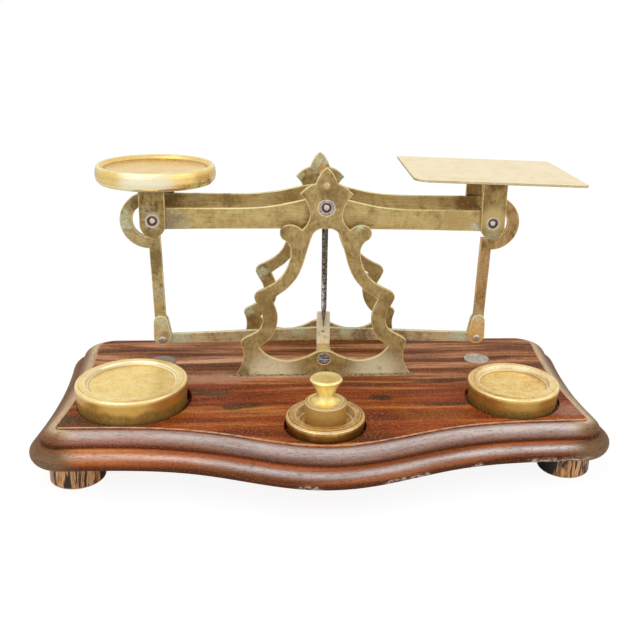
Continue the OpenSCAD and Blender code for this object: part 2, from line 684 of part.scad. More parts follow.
module left_stem() stem(-1, pan_seat);
module right_stem() stem(1, plate_seat);

// Two leaf-shaped cheeks on the stem's lower end, with the stay's end between them
module clevis(side) color([0.66, 0.6, 0.4]) translate([side * arm, mech_y, stay_end_z])
  for (s = [-1, 1]) difference() {
    upright(s * (cheek_gap + cheek_t / 2) - cheek_t / 2, cheek_t) hull() {
      translate([0, cheek_w / 2 - cheek_below]) circle(d = cheek_w, $fn = 32);
      translate([side * stem_foot_out, cheek_h - cheek_below - cheek_top_w / 2])
        circle(d = cheek_top_w, $fn = 32);
    }
    rod(0, 0, stay_pin_d + 2 * seat_gap, -cheek_gap - 2 * cheek_t, cheek_gap + 2 * cheek_t);
  }
module left_clevis() clevis(-1);
module right_clevis() clevis(1);

module stay_pin(side) color([0.7, 0.7, 0.72]) translate([side * arm, mech_y, stay_end_z]) {
  rod(0, 0, stay_pin_d, -cheek_gap - cheek_t, cheek_gap + cheek_t);
  rod(0, 0, stay_head_d, -cheek_gap - cheek_t - stay_head_t, -cheek_gap - cheek_t);
  rod(0, 0, stay_head_d, cheek_gap + cheek_t, cheek_gap + cheek_t + stay_head_t);
}
module left_stay_pin() stay_pin(-1);
module right_stay_pin() stay_pin(1);

// Shallow turned pan, hollow below; the bracket's web carries its floor
module weight_pan() color([0.83, 0.67, 0.33]) translate([-arm, mech_y, panel_z + pan_top])
  rotate_extrude() polygon([
    [0, -pan_dish], [pan_rim_r - pan_wall + 0.3, -pan_dish], [pan_rim_r - 0.9, 0], [pan_rim_r, 0],
    [pan_r - 0.35, -pan_h * 0.3], [pan_r, -pan_h * 0.6], [pan_r - 0.5, -pan_h * 0.85],
    [pan_r - 1.6, -pan_h], [pan_r - 0.2 - pan_wall - 0.9, -pan_h], [pan_r - pan_wall - 0.2, -pan_h * 0.7],
    [pan_r - pan_wall - 0.4, -pan_dish - pan_floor_t], [0, -pan_dish - pan_floor_t]]);

module letter_plate() color([0.85, 0.73, 0.5])
  translate([arm, mech_y, panel_z + plate_top]) rotate([0, plate_lean, 0])
  translate([0, 0, -plate_t]) linear_extrude(plate_t) difference() {
    square([plate_l, plate_w], center = true);
    corner_cut(-1, -1, plate_round_r);
    corner_cut(1, -1, plate_corner_r);
    corner_cut(-1, 1, plate_corner_r);
    corner_cut(1, 1, plate_corner_r);
  }

// What a rounded corner of the letter plate leaves out
module corner_cut(x, y, r) translate([x * (plate_l / 2 - r), y * (plate_w / 2 - r)])
  mirror([x < 0 ? 1 : 0, 0]) mirror([0, y < 0 ? 1 : 0]) difference() {
    square(r + past);
    circle(r = r);
  }

// Lower link, deeper in the middle, with an ear that lifts its pivot
module stay_bar() color([0.62, 0.54, 0.33]) translate([0, mech_y, stay_end_z]) difference() {
  upright(-stay_t / 2, stay_t) {
    polygon([[-arm, -stay_end_h / 2], [0, stay_lift - stay_mid_h / 2], [arm, -stay_end_h / 2],
      [arm, stay_end_h / 2], [0, stay_lift + stay_mid_h / 2], [-arm, stay_end_h / 2]]);
    for (x = [-arm, arm]) translate([x, 0]) circle(d = stay_end_h);
    translate([-ear_w / 2, stay_lift]) square([ear_w, pin_rise - stay_lift]);
    translate([0, pin_rise]) circle(d = ear_w);
  }
  for (x = [-arm, arm]) rod(x, 0, stay_pin_d + 2 * run_gap, -stay_t, stay_t);
  rod(0, pin_rise, stay_pin_d + 2 * run_gap, -stay_t, stay_t);
}

// Flat disc weight with a hollow top and a fine shoulder round its rim
module disc_weight(pos, r, stand, sunk, hollow) color([0.78, 0.62, 0.28])
  translate([pos[0], pos[1], panel_z - sunk]) rotate_extrude() let (h = stand + sunk) polygon([
    [0, 0], [r - weight_taper - weight_edge, 0], [r - weight_taper, weight_edge],
    [r - band_out, h - band_h], [r, h - band_h + weight_edge],
    [r, h - rim_step_h - weight_edge], [r - weight_edge, h - rim_step_h],
    [r - weight_edge - rim_step_w, h - rim_step_h], [r - 2 * weight_edge - rim_step_w, h],
    [r - rim_w, h], [r - rim_w - weight_edge / 2, h - hollow + weight_edge],
    [r - rim_w - 2 * weight_edge, h - hollow], [0, h - hollow]]);

module large_weight()
  disc_weight(large_pos, large_r, large_stand, large_pocket, large_hollow);
module medium_weight()
  disc_weight(medium_pos, medium_r, medium_stand, medium_pocket, medium_hollow);
module small_weight()
  disc_weight(small_pos, small_r, small_stand, small_pocket, small_hollow);

// Turned weight with a waisted knob; it stands in the small weight's hollow
module knob_weight() color([0.8, 0.64, 0.3])
  translate([small_pos[0], small_pos[1], panel_z + small_stand - small_hollow])
  rotate_extrude() polygon(concat(
    [[0, 0], [knob_body_r - weight_edge, 0], [knob_body_r, weight_edge],
     [knob_body_r, knob_body_h - weight_edge], [knob_body_r - weight_edge, knob_body_h],
     [knob_r + 0.2, knob_body_h + 0.3]],
    smooth([[knob_r + 0.1, knob_body_h - 0.1], [knob_neck_r + 0.8, knob_body_h + 1.2],
      [knob_neck_r, knob_body_h + 3.2], [knob_neck_r + 0.5, knob_body_h + knob_h * 0.5],
      [knob_r - 1, knob_body_h + knob_h * 0.72], [knob_r, knob_body_h + knob_h * 0.88]], 3),
    [[knob_r, knob_body_h + knob_h * 0.88], [knob_r - 0.7, knob_body_h + knob_h * 0.95],
     [0, knob_body_h + knob_h]]));

base_board();
foot_front_left();
foot_front_right();
foot_rear_left();
foot_rear_right();
foot_screws();
front_frame();
rear_frame();
frame_pillar();
front_centre_bearing();
rear_centre_bearing();
index_block();
index_plate();
frame_screw();
stay_pivot();
left_stop_disc();
right_stop_disc();
front_beam_bar();
rear_beam_bar();
centre_pin();
left_end_pin();
right_end_pin();
pointer();
left_bracket();
left_bearings();
left_stem();
left_clevis();
left_stay_pin();
weight_pan();
right_bracket();
right_bearings();
right_stem();
right_clevis();
right_stay_pin();
letter_plate();
stay_bar();
large_weight();
medium_weight();
small_weight();
knob_weight();
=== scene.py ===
"""The looks of a brass postal scale on a moulded rosewood base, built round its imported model.

Shapes are worked out in millimetres and put into their meshes in metres. X runs along the
beam, Z is up and the front is -Y.
"""

import bpy
import numpy as np
from mathutils import Matrix
from mathutils.geometry import delaunay_2d_cdt


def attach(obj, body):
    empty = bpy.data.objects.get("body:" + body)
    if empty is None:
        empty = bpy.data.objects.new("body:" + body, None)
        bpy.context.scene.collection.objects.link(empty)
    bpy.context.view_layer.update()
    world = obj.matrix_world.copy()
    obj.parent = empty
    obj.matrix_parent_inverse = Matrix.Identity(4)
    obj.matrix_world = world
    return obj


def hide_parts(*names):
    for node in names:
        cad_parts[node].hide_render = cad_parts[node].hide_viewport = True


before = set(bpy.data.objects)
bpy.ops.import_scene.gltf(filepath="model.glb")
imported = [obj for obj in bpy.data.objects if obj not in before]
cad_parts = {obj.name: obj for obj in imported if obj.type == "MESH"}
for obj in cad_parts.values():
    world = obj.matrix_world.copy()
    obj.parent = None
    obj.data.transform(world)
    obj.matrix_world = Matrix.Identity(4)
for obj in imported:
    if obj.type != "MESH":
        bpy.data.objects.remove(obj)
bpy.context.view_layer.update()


# The board: a flat panel with three turned pockets for the weights, planed from one dark,
# streaky plank of rosewood with its grain along the beam. It is oiled, and pale at its arris.
# Mitred mouldings are glued round it: a roll, a groove and a lower round, cut along the grain.

MM = 0.001  # metres in a millimetre
# Heights: the top of the feet, the panel's face, and the hidden lower end of the panel's side.
FOOT_H, PANEL_Z, SIDE_Z = 11.4, 28.0, 25.6
SMALL_AT = (-1.8, -39.3)
# Centre, radius and depth of each pocket.
POCKETS = (((-84.3, -13.5), 24.4, 6.4), ((84.5, -16.4), 21.3, 3.0), (SMALL_AT, 17.3, 5.3))


def arc(centre, radius, start, stop, count):
    """Points at centre + radius (cos t, sin t), with t from start to stop in degrees."""
    t = np.radians(np.linspace(start, stop, count))
    return np.array(centre) + radius * np.stack([np.cos(t), np.sin(t)], 1)


def circle(centre, radius, count):
    """A full circle of count points, counterclockwise."""
    return arc(centre, radius, 0, 360, count + 1)[:-1]


def unit(v):
    """Vectors divided by their lengths."""
    return v / np.maximum(np.linalg.norm(v, axis=-1, keepdims=True), 1e-9)


def board_edge(out):
    """Outline of the board, out mm outside its panel: the front is a line with a bell curve
    added, the sides are shallow parabolas, and arcs join them. Counterclockwise from x = 0."""
    front_y, back_y, bell_width = -38.5, 57.5, 45.5
    side = lambda y: 110 + 5 * ((y - 6) / 57.5) ** 2
    lean = lambda y: 10 * (y - 6) / 57.5**2
    bell = lambda x: 19 * np.exp(-((x / bell_width) ** 2))

    def corner(p, a, b, da, db, r, count):
        """Arc of radius r inside the corner p of two edges with outward normals a and b."""
        k = a @ b
        u, v = ((da - r) - k * (db - r)) / (1 - k * k), ((db - r) - k * (da - r)) / (1 - k * k)
        turn = np.degrees([np.arctan2(a[1], a[0]), np.arctan2(b[1], b[0])])
        return arc(p + u * a + v * b, r, turn[0], turn[1], count)

    wide, deep = side(front_y), side(back_y)
    x = np.linspace(0, wide - 8.1, 110)
    front = np.stack([x, front_y - bell(x)], 1)
    front += out * unit(np.stack([2 * x / bell_width**2 * bell(x), -np.ones_like(x)], 1))
    y = np.linspace(-23.5, 46.9, 40)
    flank = np.stack([side(y), y], 1) + 1.2 * out * unit(np.stack([np.ones_like(y), -lean(y)], 1))
    low = corner(np.array([wide, front_y - bell(wide)]), np.array([0.0, -1.0]),
        unit(np.array([1, -lean(front_y)])), out, 1.2 * out, max(2 + 1.29 * out, 0.4), 14)
    high = corner(np.array([deep, back_y]), unit(np.array([1, -lean(back_y)])), np.array([0.0, 1.0]), 1.2 * out,
        out, 8 + out, 14)
    x = np.linspace(high[-1][0], 0, 60)[1:]
    back = np.stack([x, np.full_like(x, back_y + out)], 1)
    half = np.concatenate([front, low, flank, high, back])
    return np.concatenate([half, (half * (-1, 1))[::-1][1:-1]])


def eased(line, reach, closed=False, steps=4):
    """A line of points whose corners are rounded by parabolas that start at most reach from
    the corner, with one more point on each side that keeps the flat flat. Also tells how
    sharply it turns at each point: above 0 to the left, below 0 to the right."""
    line = np.asarray(line, float)
    before, after = np.roll(line, 1, 0), np.roll(line, -1, 0)
    ahead, behind = after - line, before - line
    lengths = np.linalg.norm(ahead, axis=1)
    if not closed:
        lengths[[0, -2]] *= 1.9
    d = np.minimum(reach, 0.3 * np.minimum(lengths, np.roll(lengths, 1)))[:, None]
    u, v = unit(behind), unit(ahead)
    bend = v[:, 0] * u[:, 1] - v[:, 1] * u[:, 0]
    t = np.linspace(0, 1, steps + 1)[:, None, None]
    curve = line + d * ((1 - t) ** 2 * u + t**2 * v)
    rows = np.concatenate([(line + 1.7 * d * u)[None], curve, (line + 1.7 * d * v)[None]])
    marks = np.zeros(rows.shape[:2])
    marks[1:-1] = np.clip(bend * 1.2, -1, 1)
    points, marks = rows.transpose(1, 0, 2).reshape(-1, 2), marks.T.ravel()
    if not closed:
        size = steps + 3
        points = np.concatenate([line[:1], points[size:-size], line[-1:]])
        marks = np.concatenate([[0], marks[size:-size], [0]])
    return points, marks


def ribbon(rings, edge=0.0, loop=False):
    """Quads between rows of points (rows x columns x 3). Each row closes on itself, and the
    last row joins the first where loop is set. Edge holds a mark for each row."""
    rows, columns = rings.shape[:2]
    k = np.arange(rows * columns).reshape(rows, columns)
    a, b = (k, np.roll(k, -1, 0)) if loop else (k[:-1], k[1:])
    quads = np.stack([a, b, np.roll(b, -1, 1), np.roll(a, -1, 1)], -1).reshape(-1, 4)
    return rings.reshape(-1, 3), [quads], np.broadcast_to(np.reshape(edge, (-1, 1)), (rows, columns)).ravel()


def fill(loops):
    """The area between flat loops of points as triangles: a Delaunay net that keeps the
    loops' edges, less each triangle from which a line to the right crosses an even number of
    them. Gives the points of the net, the loops' own first, and the triangles."""
    flat, ahead = np.concatenate(loops), np.concatenate([np.roll(loop, -1, 0) for loop in loops])
    ends = np.concatenate([np.roll(np.arange(len(loop)), -1) for loop in loops])
    ends += np.repeat(np.cumsum([0] + [len(loop) for loop in loops[:-1]]), [len(loop) for loop in loops])
    edges = np.stack([np.arange(len(flat)), ends], 1).tolist()
    found = delaunay_2d_cdt(flat.tolist(), edges, [], 0, 1e-6)
    points, tris = np.concatenate([flat, np.array(found[0]).reshape(-1, 2)[len(flat):]]), np.array(found[2])
    x, y = points[tris].mean(1).T[:, :, None]
    rise = ahead[:, 1] - flat[:, 1]
    cross = flat[:, 0] + (y - flat[:, 1]) / np.where(rise == 0, 1e-9, rise) * (ahead[:, 0] - flat[:, 0])
    tris = tris[(((flat[:, 1] > y) != (ahead[:, 1] > y)) & (x < cross)).sum(1) % 2 == 1]
    a, b, c = points[tris[:, 0]], points[tris[:, 1]], points[tris[:, 2]]
    turn = (b - a)[:, 0] * (c - a)[:, 1] - (b - a)[:, 1] * (c - a)[:, 0]
    return points, np.where(turn[:, None] < 0, tris[:, ::-1], tris)


def cap(loops, height, under=False):
    """The filled area between loops at a height, facing up, or down where it is under."""
    points, tris = fill(loops)
    level = np.full(len(points), height)
    return np.column_stack([points, level]), [tris[:, ::-1] if under else tris], level * 0


def merged(parts):
    """Several parts as one: each is its points, its arrays of faces and the edge marks."""
    starts = np.cumsum([0] + [len(points) for points, _, _ in parts])
    faces = [group + start for (_, groups, _), start in zip(parts, starts) for group in groups]
    return np.concatenate([p for p, _, _ in parts]), faces, np.concatenate([e for _, _, e in parts])


def make(name, parts, rides, stands_for, slot, finish, **marks):
    """One piece from parts of (points in mm, face arrays, edge marks). Equal points are
    welded, and a quad that loses a corner becomes a triangle. The mark "edge" is above 0 on
    outer edges and below 0 in inner corners."""
    points, groups, marks["edge"] = merged(parts)
    _, keep, same = np.unique(np.round(points, 4), axis=0, return_index=True, return_inverse=True)
    faces = []
    for group in groups:
        corners = same.ravel()[group]
        double = corners == np.roll(corners, -1, 1)
        faces += corners[double.sum(1) == 0].tolist()
        if corners.shape[1] == 4:
            once = double.sum(1) == 1
            faces += corners[once][~double[once]].reshape(-1, 3).tolist()
    mesh = bpy.data.meshes.new(name)
    mesh.from_pydata((points[keep] * MM).tolist(), [], faces)
    for mark, values in marks.items():
        values = np.asarray(values, float)[keep]
        layer = mesh.attributes.new(mark, "FLOAT" if values.ndim == 1 else "FLOAT_VECTOR", "POINT")
        layer.data.foreach_set("value" if values.ndim == 1 else "vector", values.ravel())
    mesh.polygons.foreach_set("use_smooth", [True] * len(mesh.polygons))
    mesh.materials.append(finish)
    piece = bpy.data.objects.new(name, mesh)
    bpy.context.scene.collection.objects.link(piece)
    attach(piece, rides)
    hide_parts(*([stands_for] if isinstance(stands_for, str) else stands_for))
    return piece


def hue(*rgb):
    """A colour of a paint card, 0 to 255, as the linear light a shader takes."""
    c = np.array(rgb) / 255
    return tuple(np.where(c < 0.04045, c / 12.92, ((c + 0.055) / 1.055) ** 2.4).tolist())


class Shade:
    """A shader socket that takes part in arithmetic: each operator adds its Math node."""

    def __init__(self, finish, socket):
        self.finish, self.socket = finish, socket

    def maths(self, operation, *others):
        return self.finish.add("ShaderNodeMath", {"operation": operation}, dict(enumerate((self, *others))))

    def __add__(self, other):
        return self.maths("ADD", other)

    def __sub__(self, other):
        return self.maths("SUBTRACT", other)

    def __mul__(self, other):
        return self.maths("MULTIPLY", other)

    def __truediv__(self, other):
        return self.maths("DIVIDE", other)

    def __rsub__(self, other):
        return self.finish.add("ShaderNodeMath", {"operation": "SUBTRACT"}, {0: other, 1: self})

    __radd__, __rmul__ = __add__, __mul__

    def ramp(self, low, high, start=0.0, stop=1.0):
        """A soft step from start to stop while this value goes from low to high."""
        ends = dict(enumerate((self, low, high, start, stop)))
        return self.finish.add("ShaderNodeMapRange", {"interpolation_type": "SMOOTHSTEP"}, ends)


class Finish:
    """One material as it is mixed, or the room's light where that is given as the owner. Its
    patterns are measured in millimetres."""

    def __init__(self, name, owner=None):
        self.owner = owner or bpy.data.materials.new(name)
        self.owner.use_nodes = True
        self.tree = self.owner.node_tree
        self.tree.nodes.clear()

    def add(self, kind, settings=None, sockets=None, out=0):
        """A node of any kind: its settings first, then the values or links of its sockets."""
        node = self.tree.nodes.new(kind)
        for key, value in (settings or {}).items():
            if key == "stops":
                ends = node.color_ramp.elements
                for _ in value[2:]:
                    ends.new(0.5)
                for stop, (place, colour) in zip(ends, value):
                    stop.position, stop.color = place, (*colour, 1)
            else:
                setattr(node, key, value)
        for key, value in (sockets or {}).items():
            if isinstance(value, Shade):
                self.tree.links.new(value.socket, node.inputs[key])
            else:
                node.inputs[key].default_value = value
        return Shade(self, node.outputs[out]) if node.outputs else None

    def place(self):
        """Where a point lies on the piece, in millimetres."""
        here = self.add("ShaderNodeTexCoord", out=3)
        return self.vector_maths("MULTIPLY", here, (1 / MM,) * 3)

    def vector_maths(self, operation, *values, out=0):
        return self.add("ShaderNodeVectorMath", {"operation": operation}, dict(enumerate(values)), out)

    def mark(self, name, kind=2):
        """A mark that the mesh carries: kind 2 is a number and kind 1 a vector."""
        return self.add("ShaderNodeAttribute", {"attribute_name": name}, out=kind)

    def axis(self, vector, number):
        """One part of a place: 0, 1 and 2 are X, Y and Z."""
        return self.add("ShaderNodeSeparateXYZ", {}, {0: vector}, out=number)

    def noise(self, vector, size, detail=3.0, rough=0.55, wander=0.0):
        """Clouds from 0 to 1 whose patches measure size (x, y, z)."""
        size = size if isinstance(size, tuple) else (size,) * 3
        spot = self.vector_maths("DIVIDE", vector, size)
        values = {"Vector": spot, "Scale": 1.0, "Detail": detail, "Roughness": rough, "Distortion": wander}
        return self.add("ShaderNodeTexNoise", {}, values)

    def stirred(self, vector, size, reach):
        """A place that clouds of a size push about, by up to reach either way."""
        spot = self.vector_maths("DIVIDE", vector, (size,) * 3)
        push = self.add("ShaderNodeTexNoise", {}, {"Vector": spot, "Scale": 1.0, "Detail": 3.0}, out=1)
        push = self.vector_maths("SUBTRACT", push, (0.5,) * 3)
        return self.vector_maths("MULTIPLY_ADD", push, (4 * reach,) * 3, vector)

    def mix(self, share, a, b, how="MIX"):
        """Colour a turned into colour b by share."""
        a, b = [c if isinstance(c, Shade) else (*c, 1) for c in (a, b)]
        values = {0: share, 6: a, 7: b}
        return self.add("ShaderNodeMix", {"data_type": "RGBA", "blend_type": how}, values, out=2)

    def tones(self, value, *stops):
        """Colours by value, with stops of (value, red, green, blue) from a paint card."""
        stops = [(place, hue(*rgb)) for place, *rgb in stops]
        return self.add("ShaderNodeValToRGB", {"stops": stops}, {0: value})

    def lathe(self, width):
        """The lathe's fine rings, from 0 to 1, read from the mark "lathe"."""
        sockets = {"W": self.mark("lathe") / width, "Scale": 1.0, "Detail": 2.0}
        return self.add("ShaderNodeTexNoise", {"noise_dimensions": "1D"}, sockets)

    def worn(self, colour, share, bare, low=0.1, high=0.9):
        """A colour that is worn to another one along the outer edges."""
        return self.mix(self.mark("edge").ramp(low, high) * share, colour, hue(*bare))

    def near(self, spot, point, reach):
        """1 at a point and 0 from reach away."""
        away = self.vector_maths("DISTANCE", spot, point, out=1)
        return away.ramp(0.0, reach, 1.0, 0.0)

    def done(self, colour, roughness, metallic=0.0, relief=None, depth=0.1, **sockets):
        """The finished shader. Relief is from 0 to 1 over depth in millimetres."""
        sockets = {key.replace("_", " ").title().replace("Ior", "IOR"): value for key, value in sockets.items()}
        sockets |= {"Base Color": colour, "Roughness": roughness, "Metallic": metallic}
        if relief is not None:
            sockets["Normal"] = self.add("ShaderNodeBump", {}, {"Height": relief, "Distance": depth * MM})
        shader = self.add("ShaderNodeBsdfPrincipled", {}, sockets)
        self.add("ShaderNodeOutputMaterial", {}, {0: shader})
        return self.owner


def rosewood(name, moulded):
    """Dark and light bands along the grain, black streaks, fine fibres and open pores, under
    a thin worn oil. The panel goes from brown bands behind to a red front. A moulding has
    three marks: one where its wax has gone pale and a painted sheen stands in for the lamps'
    reflection on its rounds, warm, where the groove keeps it orange, and low, painted shade
    on the undersides of its rounds."""
    f = Finish(name)
    spot = f.place()
    along, back, up = [f.axis(spot, number) for number in range(3)]
    here = f.mark("grain", 1) if moulded else spot
    bend = f.noise(here, (70.0, 24.0, 24.0), 1.0)
    waved = f.vector_maths("MULTIPLY_ADD", bend, (0, 8.0, 8.0), here)
    drift = f.noise(here, (60.0, 10.0, 10.0), 2.0)
    bands = f.noise(waved, (80.0, 3.8, 3.8), 2.0, 0.5, 0.2)
    broad = f.noise(waved, (90.0, 8.0, 8.0), 1.0, 0.5, 0.2)
    streaks = f.noise(waved, (70.0, 3.4, 3.4), 2.0, 0.5, 0.2)
    fibre = f.noise(here, (3.2, 0.42, 0.42), 3.0, 0.6)
    grit = f.noise(here, (0.8, 0.5, 0.5), 3.0, 0.7)
    value = bands * 0.42 + broad * 0.34 + drift * 0.08 + fibre * 0.16
    brown = f.tones(value, (0.40, 84, 38, 18), (0.47, 142, 82, 44), (0.53, 190, 122, 78), (0.61, 240, 184, 144))
    red = f.tones(value, (0.38, 94, 30, 8), (0.46, 140, 54, 16), (0.54, 172, 78, 26), (0.63, 216, 134, 64))
    if moulded:
        colour = f.tones(value, (0.42, 70, 32, 14), (0.48, 106, 56, 32), (0.53, 132, 78, 50),
            (0.60, 168, 114, 84))
        colour = f.mix(along.ramp(-30.0, -90.0, 0.0, 0.75), colour, hue(164, 78, 30))
    else:
        colour = f.mix(back.ramp(24.0, -14.0), brown, red)
    black = streaks.ramp(0.54, 0.64) * drift.ramp(0.40, 0.60, 0.1, 0.85)
    colour = f.mix(black, colour, f.mix(grit, hue(34, 18, 8), hue(92, 66, 38)))
    if not moulded:
        # Worn and stained patches: x, y, reach, share and colour. They are drawn out along X.
        short = f.vector_maths("MULTIPLY", f.stirred(spot, 9.0, 2.5), (0.3, 1, 1))
        for x, y, reach, share, *shade in ((-98, -33, 15, 0.85, 84, 62, 36), (-52, 9, 12, 0.6, 200, 156, 126),
                (-6, 7, 9, 0.35, 190, 144, 110), (100, -28, 13, 0.6, 196, 150, 124),
                (-50, -7, 6, 0.8, 84, 62, 36), (-38, -21, 6, 0.8, 60, 38, 20), (26, -13, 5, 0.85, 34, 18, 10),
                (60, 4, 7, 0.7, 54, 32, 16), (-52, 0, 6, 0.6, 148, 52, 22), (-40, -14, 5, 0.6, 146, 50, 20),
                (46, -32, 11, 0.5, 176, 98, 28), (58, -44, 7, 0.6, 124, 46, 16), (8, -14, 6, 0.5, 146, 56, 20),
                (60, 11, 5, 0.5, 196, 140, 96), (-80, -52, 8, 0.7, 70, 48, 28)):
            rubbed = (f.near(short, (x * 0.3, y, PANEL_Z), reach) * (fibre * 0.8 + grit * 0.8)).ramp(0.2, 0.6)
            colour = f.mix(rubbed * share, colour, hue(*shade))
        # Pale flecks, in clusters.
        flecks = f.noise(here, (1.6, 0.7, 0.7), 3.0, 0.65)
        for *point, reach in ((17, -34, 28, 13.0), (10, -26, 28, 8.0), (98, -22, 28, 10.0)):
            colour = f.mix(f.near(spot, point, reach).ramp(0.0, 0.4) * flecks.ramp(0.6, 0.64) * 0.8, colour,
                hue(216, 156, 128))
        # Dust has gathered along the foot of the front plate.
        strip = back.ramp(9.9, 11.3) * back.ramp(13.4, 12.4) * along.maths("ABSOLUTE").ramp(47.0, 43.0)
        colour = f.mix(strip * 0.9, colour, f.mix(flecks.ramp(0.46, 0.54), hue(44, 34, 24), hue(206, 190, 164)))
    if moulded:
        mottle = f.noise(here, (18.0, 1.8, 1.8), 4.0, 0.66, 0.3)
        # At the board's sides the moulding turns a darker, mottled brown.
        side = f.axis(f.vector_maths("ABSOLUTE", spot), 0).ramp(100.0, 113.0)
        colour = f.mix(side * 0.75, colour, f.mix(mottle, hue(84, 56, 34), hue(150, 116, 84)))
        warm = f.mark("warm") * bands.ramp(0.36, 0.56, 0.6, 1.0) * (1 - side)
        colour = f.mix(warm, colour, f.mix(along.ramp(-60.0, -96.0), hue(204, 108, 58), hue(255, 168, 92)))
        # Painted shade on the undersides of the rounds, read from the mark low.
        colour = f.mix(f.mark("low") * broad.ramp(0.3, 0.6, 0.8, 1.0), colour,
            f.mix(grit, hue(58, 22, 8), hue(104, 50, 24)))
        left_low = along.ramp(-30.0, -70.0) * up.ramp(21.5, 20.5)
        # Pale wax with a painted sheen: the colours laid where the rounds face the lamps.
        pale = f.mix(along.ramp(30.0, 80.0), hue(212, 194, 188), hue(232, 216, 210))
        pale = f.mix(side, f.mix(left_low, pale, hue(248, 196, 172)), hue(238, 212, 174))
        share = f.mark("bloom") * (mottle * 0.7 + grit * 0.3).ramp(0.3, 0.56, 0.5, 1.0)
        colour = f.mix(share, colour, pale)
        # Painted shade: the lower round on the board's sides is darker again.
        outer = side * up.ramp(20.6, 19.6)
        colour = f.mix(outer * 0.85, colour, f.mix(mottle, hue(84, 58, 34), hue(150, 120, 90)))
        # Chips along the lower edge, which show pale wood, and one short scratch.
        chips = f.noise(here, (2.2, 1.1, 1.1), 4.0, 0.7)
        for *point, reach in ((27, -62, 13.6, 8.0), (36, -59, 14, 7.0), (-9, -67, 13.4, 7.0),
                (92, -48, 12.4, 11.0), (106, -47, 12.6, 10.0), (62, -52, 13, 4.0)):
            flaked = f.near(spot, point, reach).ramp(0.0, 0.5) * chips.ramp(0.48, 0.53) * up.ramp(16.2, 13.8)
            colour = f.mix(flaked * 0.95, colour, f.mix(grit, hue(170, 140, 110), hue(250, 236, 214)))
        for step in (-1.0, -0.5, 0.0, 0.5, 1.0):
            scratch = f.near(spot, (-89.5 + step, -45.2 + 0.3 * step, 24.6 + 0.8 * step), 0.9).ramp(0.0, 0.7)
            colour = f.mix(scratch * 0.7, colour, hue(232, 224, 220))
    pale_share, dark_share = (0.3, 0.0) if moulded else (0.75, 0.7)
    colour = f.mix(grit.ramp(0.54, 0.66) * pale_share, colour, hue(224, 168, 108))
    colour = f.mix((grit * 0.6 + drift * 0.4).ramp(0.46, 0.34) * dark_share, colour, hue(64, 36, 16))
    pores = f.noise(here, (2.4, 0.3, 0.3), 1.0)
    colour = f.mix(pores.ramp(0.58, 0.68) * (0.3 if moulded else 0.45), colour, hue(36, 18, 8))
    edge = f.mark("edge")
    worn = f.noise(here, (6.0, 1.0, 1.0), 3.0, 0.6)
    colour = f.mix(edge.ramp(0.1, 0.9) * worn.ramp(0.34, 0.6, 0.35, 1.0), colour, hue(226, 176, 138))
    colour = f.mix((0 - edge).ramp(0.1, 0.9, 0.0, 0.7), colour, hue(44, 22, 10))
    relief = bands * 0.4 + fibre * 0.4 + grit * 0.3 - pores.ramp(0.58, 0.7) * 0.5
    return f.done(colour, 0.42 + grit * 0.2, relief=relief, depth=0.2, specular_ior_level=0.08)


def board_rings(line):
    """The board's outline at each (distance outside the panel, height) of a line."""
    edges = np.stack([board_edge(out) for out, _ in line])
    return np.dstack([edges, np.broadcast_to(np.array(line)[:, 1:], edges.shape[:2])])


profile, corners = eased([(-0.6, PANEL_Z), (0, PANEL_Z), (0, SIDE_Z)], 0.33)
rings = board_rings(profile)
parts = [ribbon(rings, -corners)]
tops = [rings[0][:, :2]]
for centre, radius, depth in POCKETS:
    wall, turns = eased([(radius + 0.25, 0), (radius, 0), (radius, -depth), (radius - 3, -depth)], 0.3)
    around = arc((0, 0), 1.0, 360, 0, 97)[:-1]
    pocket = np.stack([np.column_stack([centre + r * around, np.full(96, PANEL_Z + z)]) for r, z in wall])
    parts.append(ribbon(pocket, -turns))
    tops.append(pocket[0][:, :2])
    parts.append(cap([pocket[-1][:, :2]], PANEL_Z - depth))
parts.append(cap(tops, PANEL_Z))
under = board_rings([(0, SIDE_Z), (0, 16), (5.4, 16), (5.4, FOOT_H)])
parts += [ribbon(under), cap([under[-1][:, :2]], FOOT_H, True)]
panel_wood = rosewood("rosewood_panel", False)
make("board_panel", parts, "root", "base_board", "rosewood", panel_wood)

ROLL_AT, LOWER_AT = (0.9, 22.2), (5.6, 16.25)
roll, lower = arc(ROLL_AT, 4.9, 96, -8, 22), arc(LOWER_AT, 4.6, 98, -88, 30)
line = np.concatenate([[(-2, 27.2), (-0.4, 27.15)], roll, [(5.3, 21.3), (5.1, 21.1), (5.0, 20.9)], lower,
    [(2, 11.6), (-2, 17.4)]])
outs, heights = line.T
rings = board_rings(line)
# The grain's own places: how far a point lies along the moulding and across it.
walked = lambda path: np.concatenate([[0], np.cumsum(np.linalg.norm(np.diff(path, axis=0), axis=1))])
across, along = walked(line), walked(board_edge(3.0))
along = np.where(along > along[-1] / 2, along - along[-1], along)
grain = np.stack(np.broadcast_arrays(along[None, :], across[:, None] + 200, 0.0), -1).reshape(-1, 3)
rows = lambda values: np.repeat(values, len(along))
turn_roll, turn_low = [np.degrees(np.arctan2(heights - z, outs - x)) for x, z in (ROLL_AT, LOWER_AT)]
on_roll, on_low = (heights > 21.2) & (outs > -0.3), (heights < 20.95) & (outs > 2.5)
hump = lambda angle, middle, below, above: np.exp(-(((angle
    - middle) / np.where(angle < middle, below, above)) ** 2))
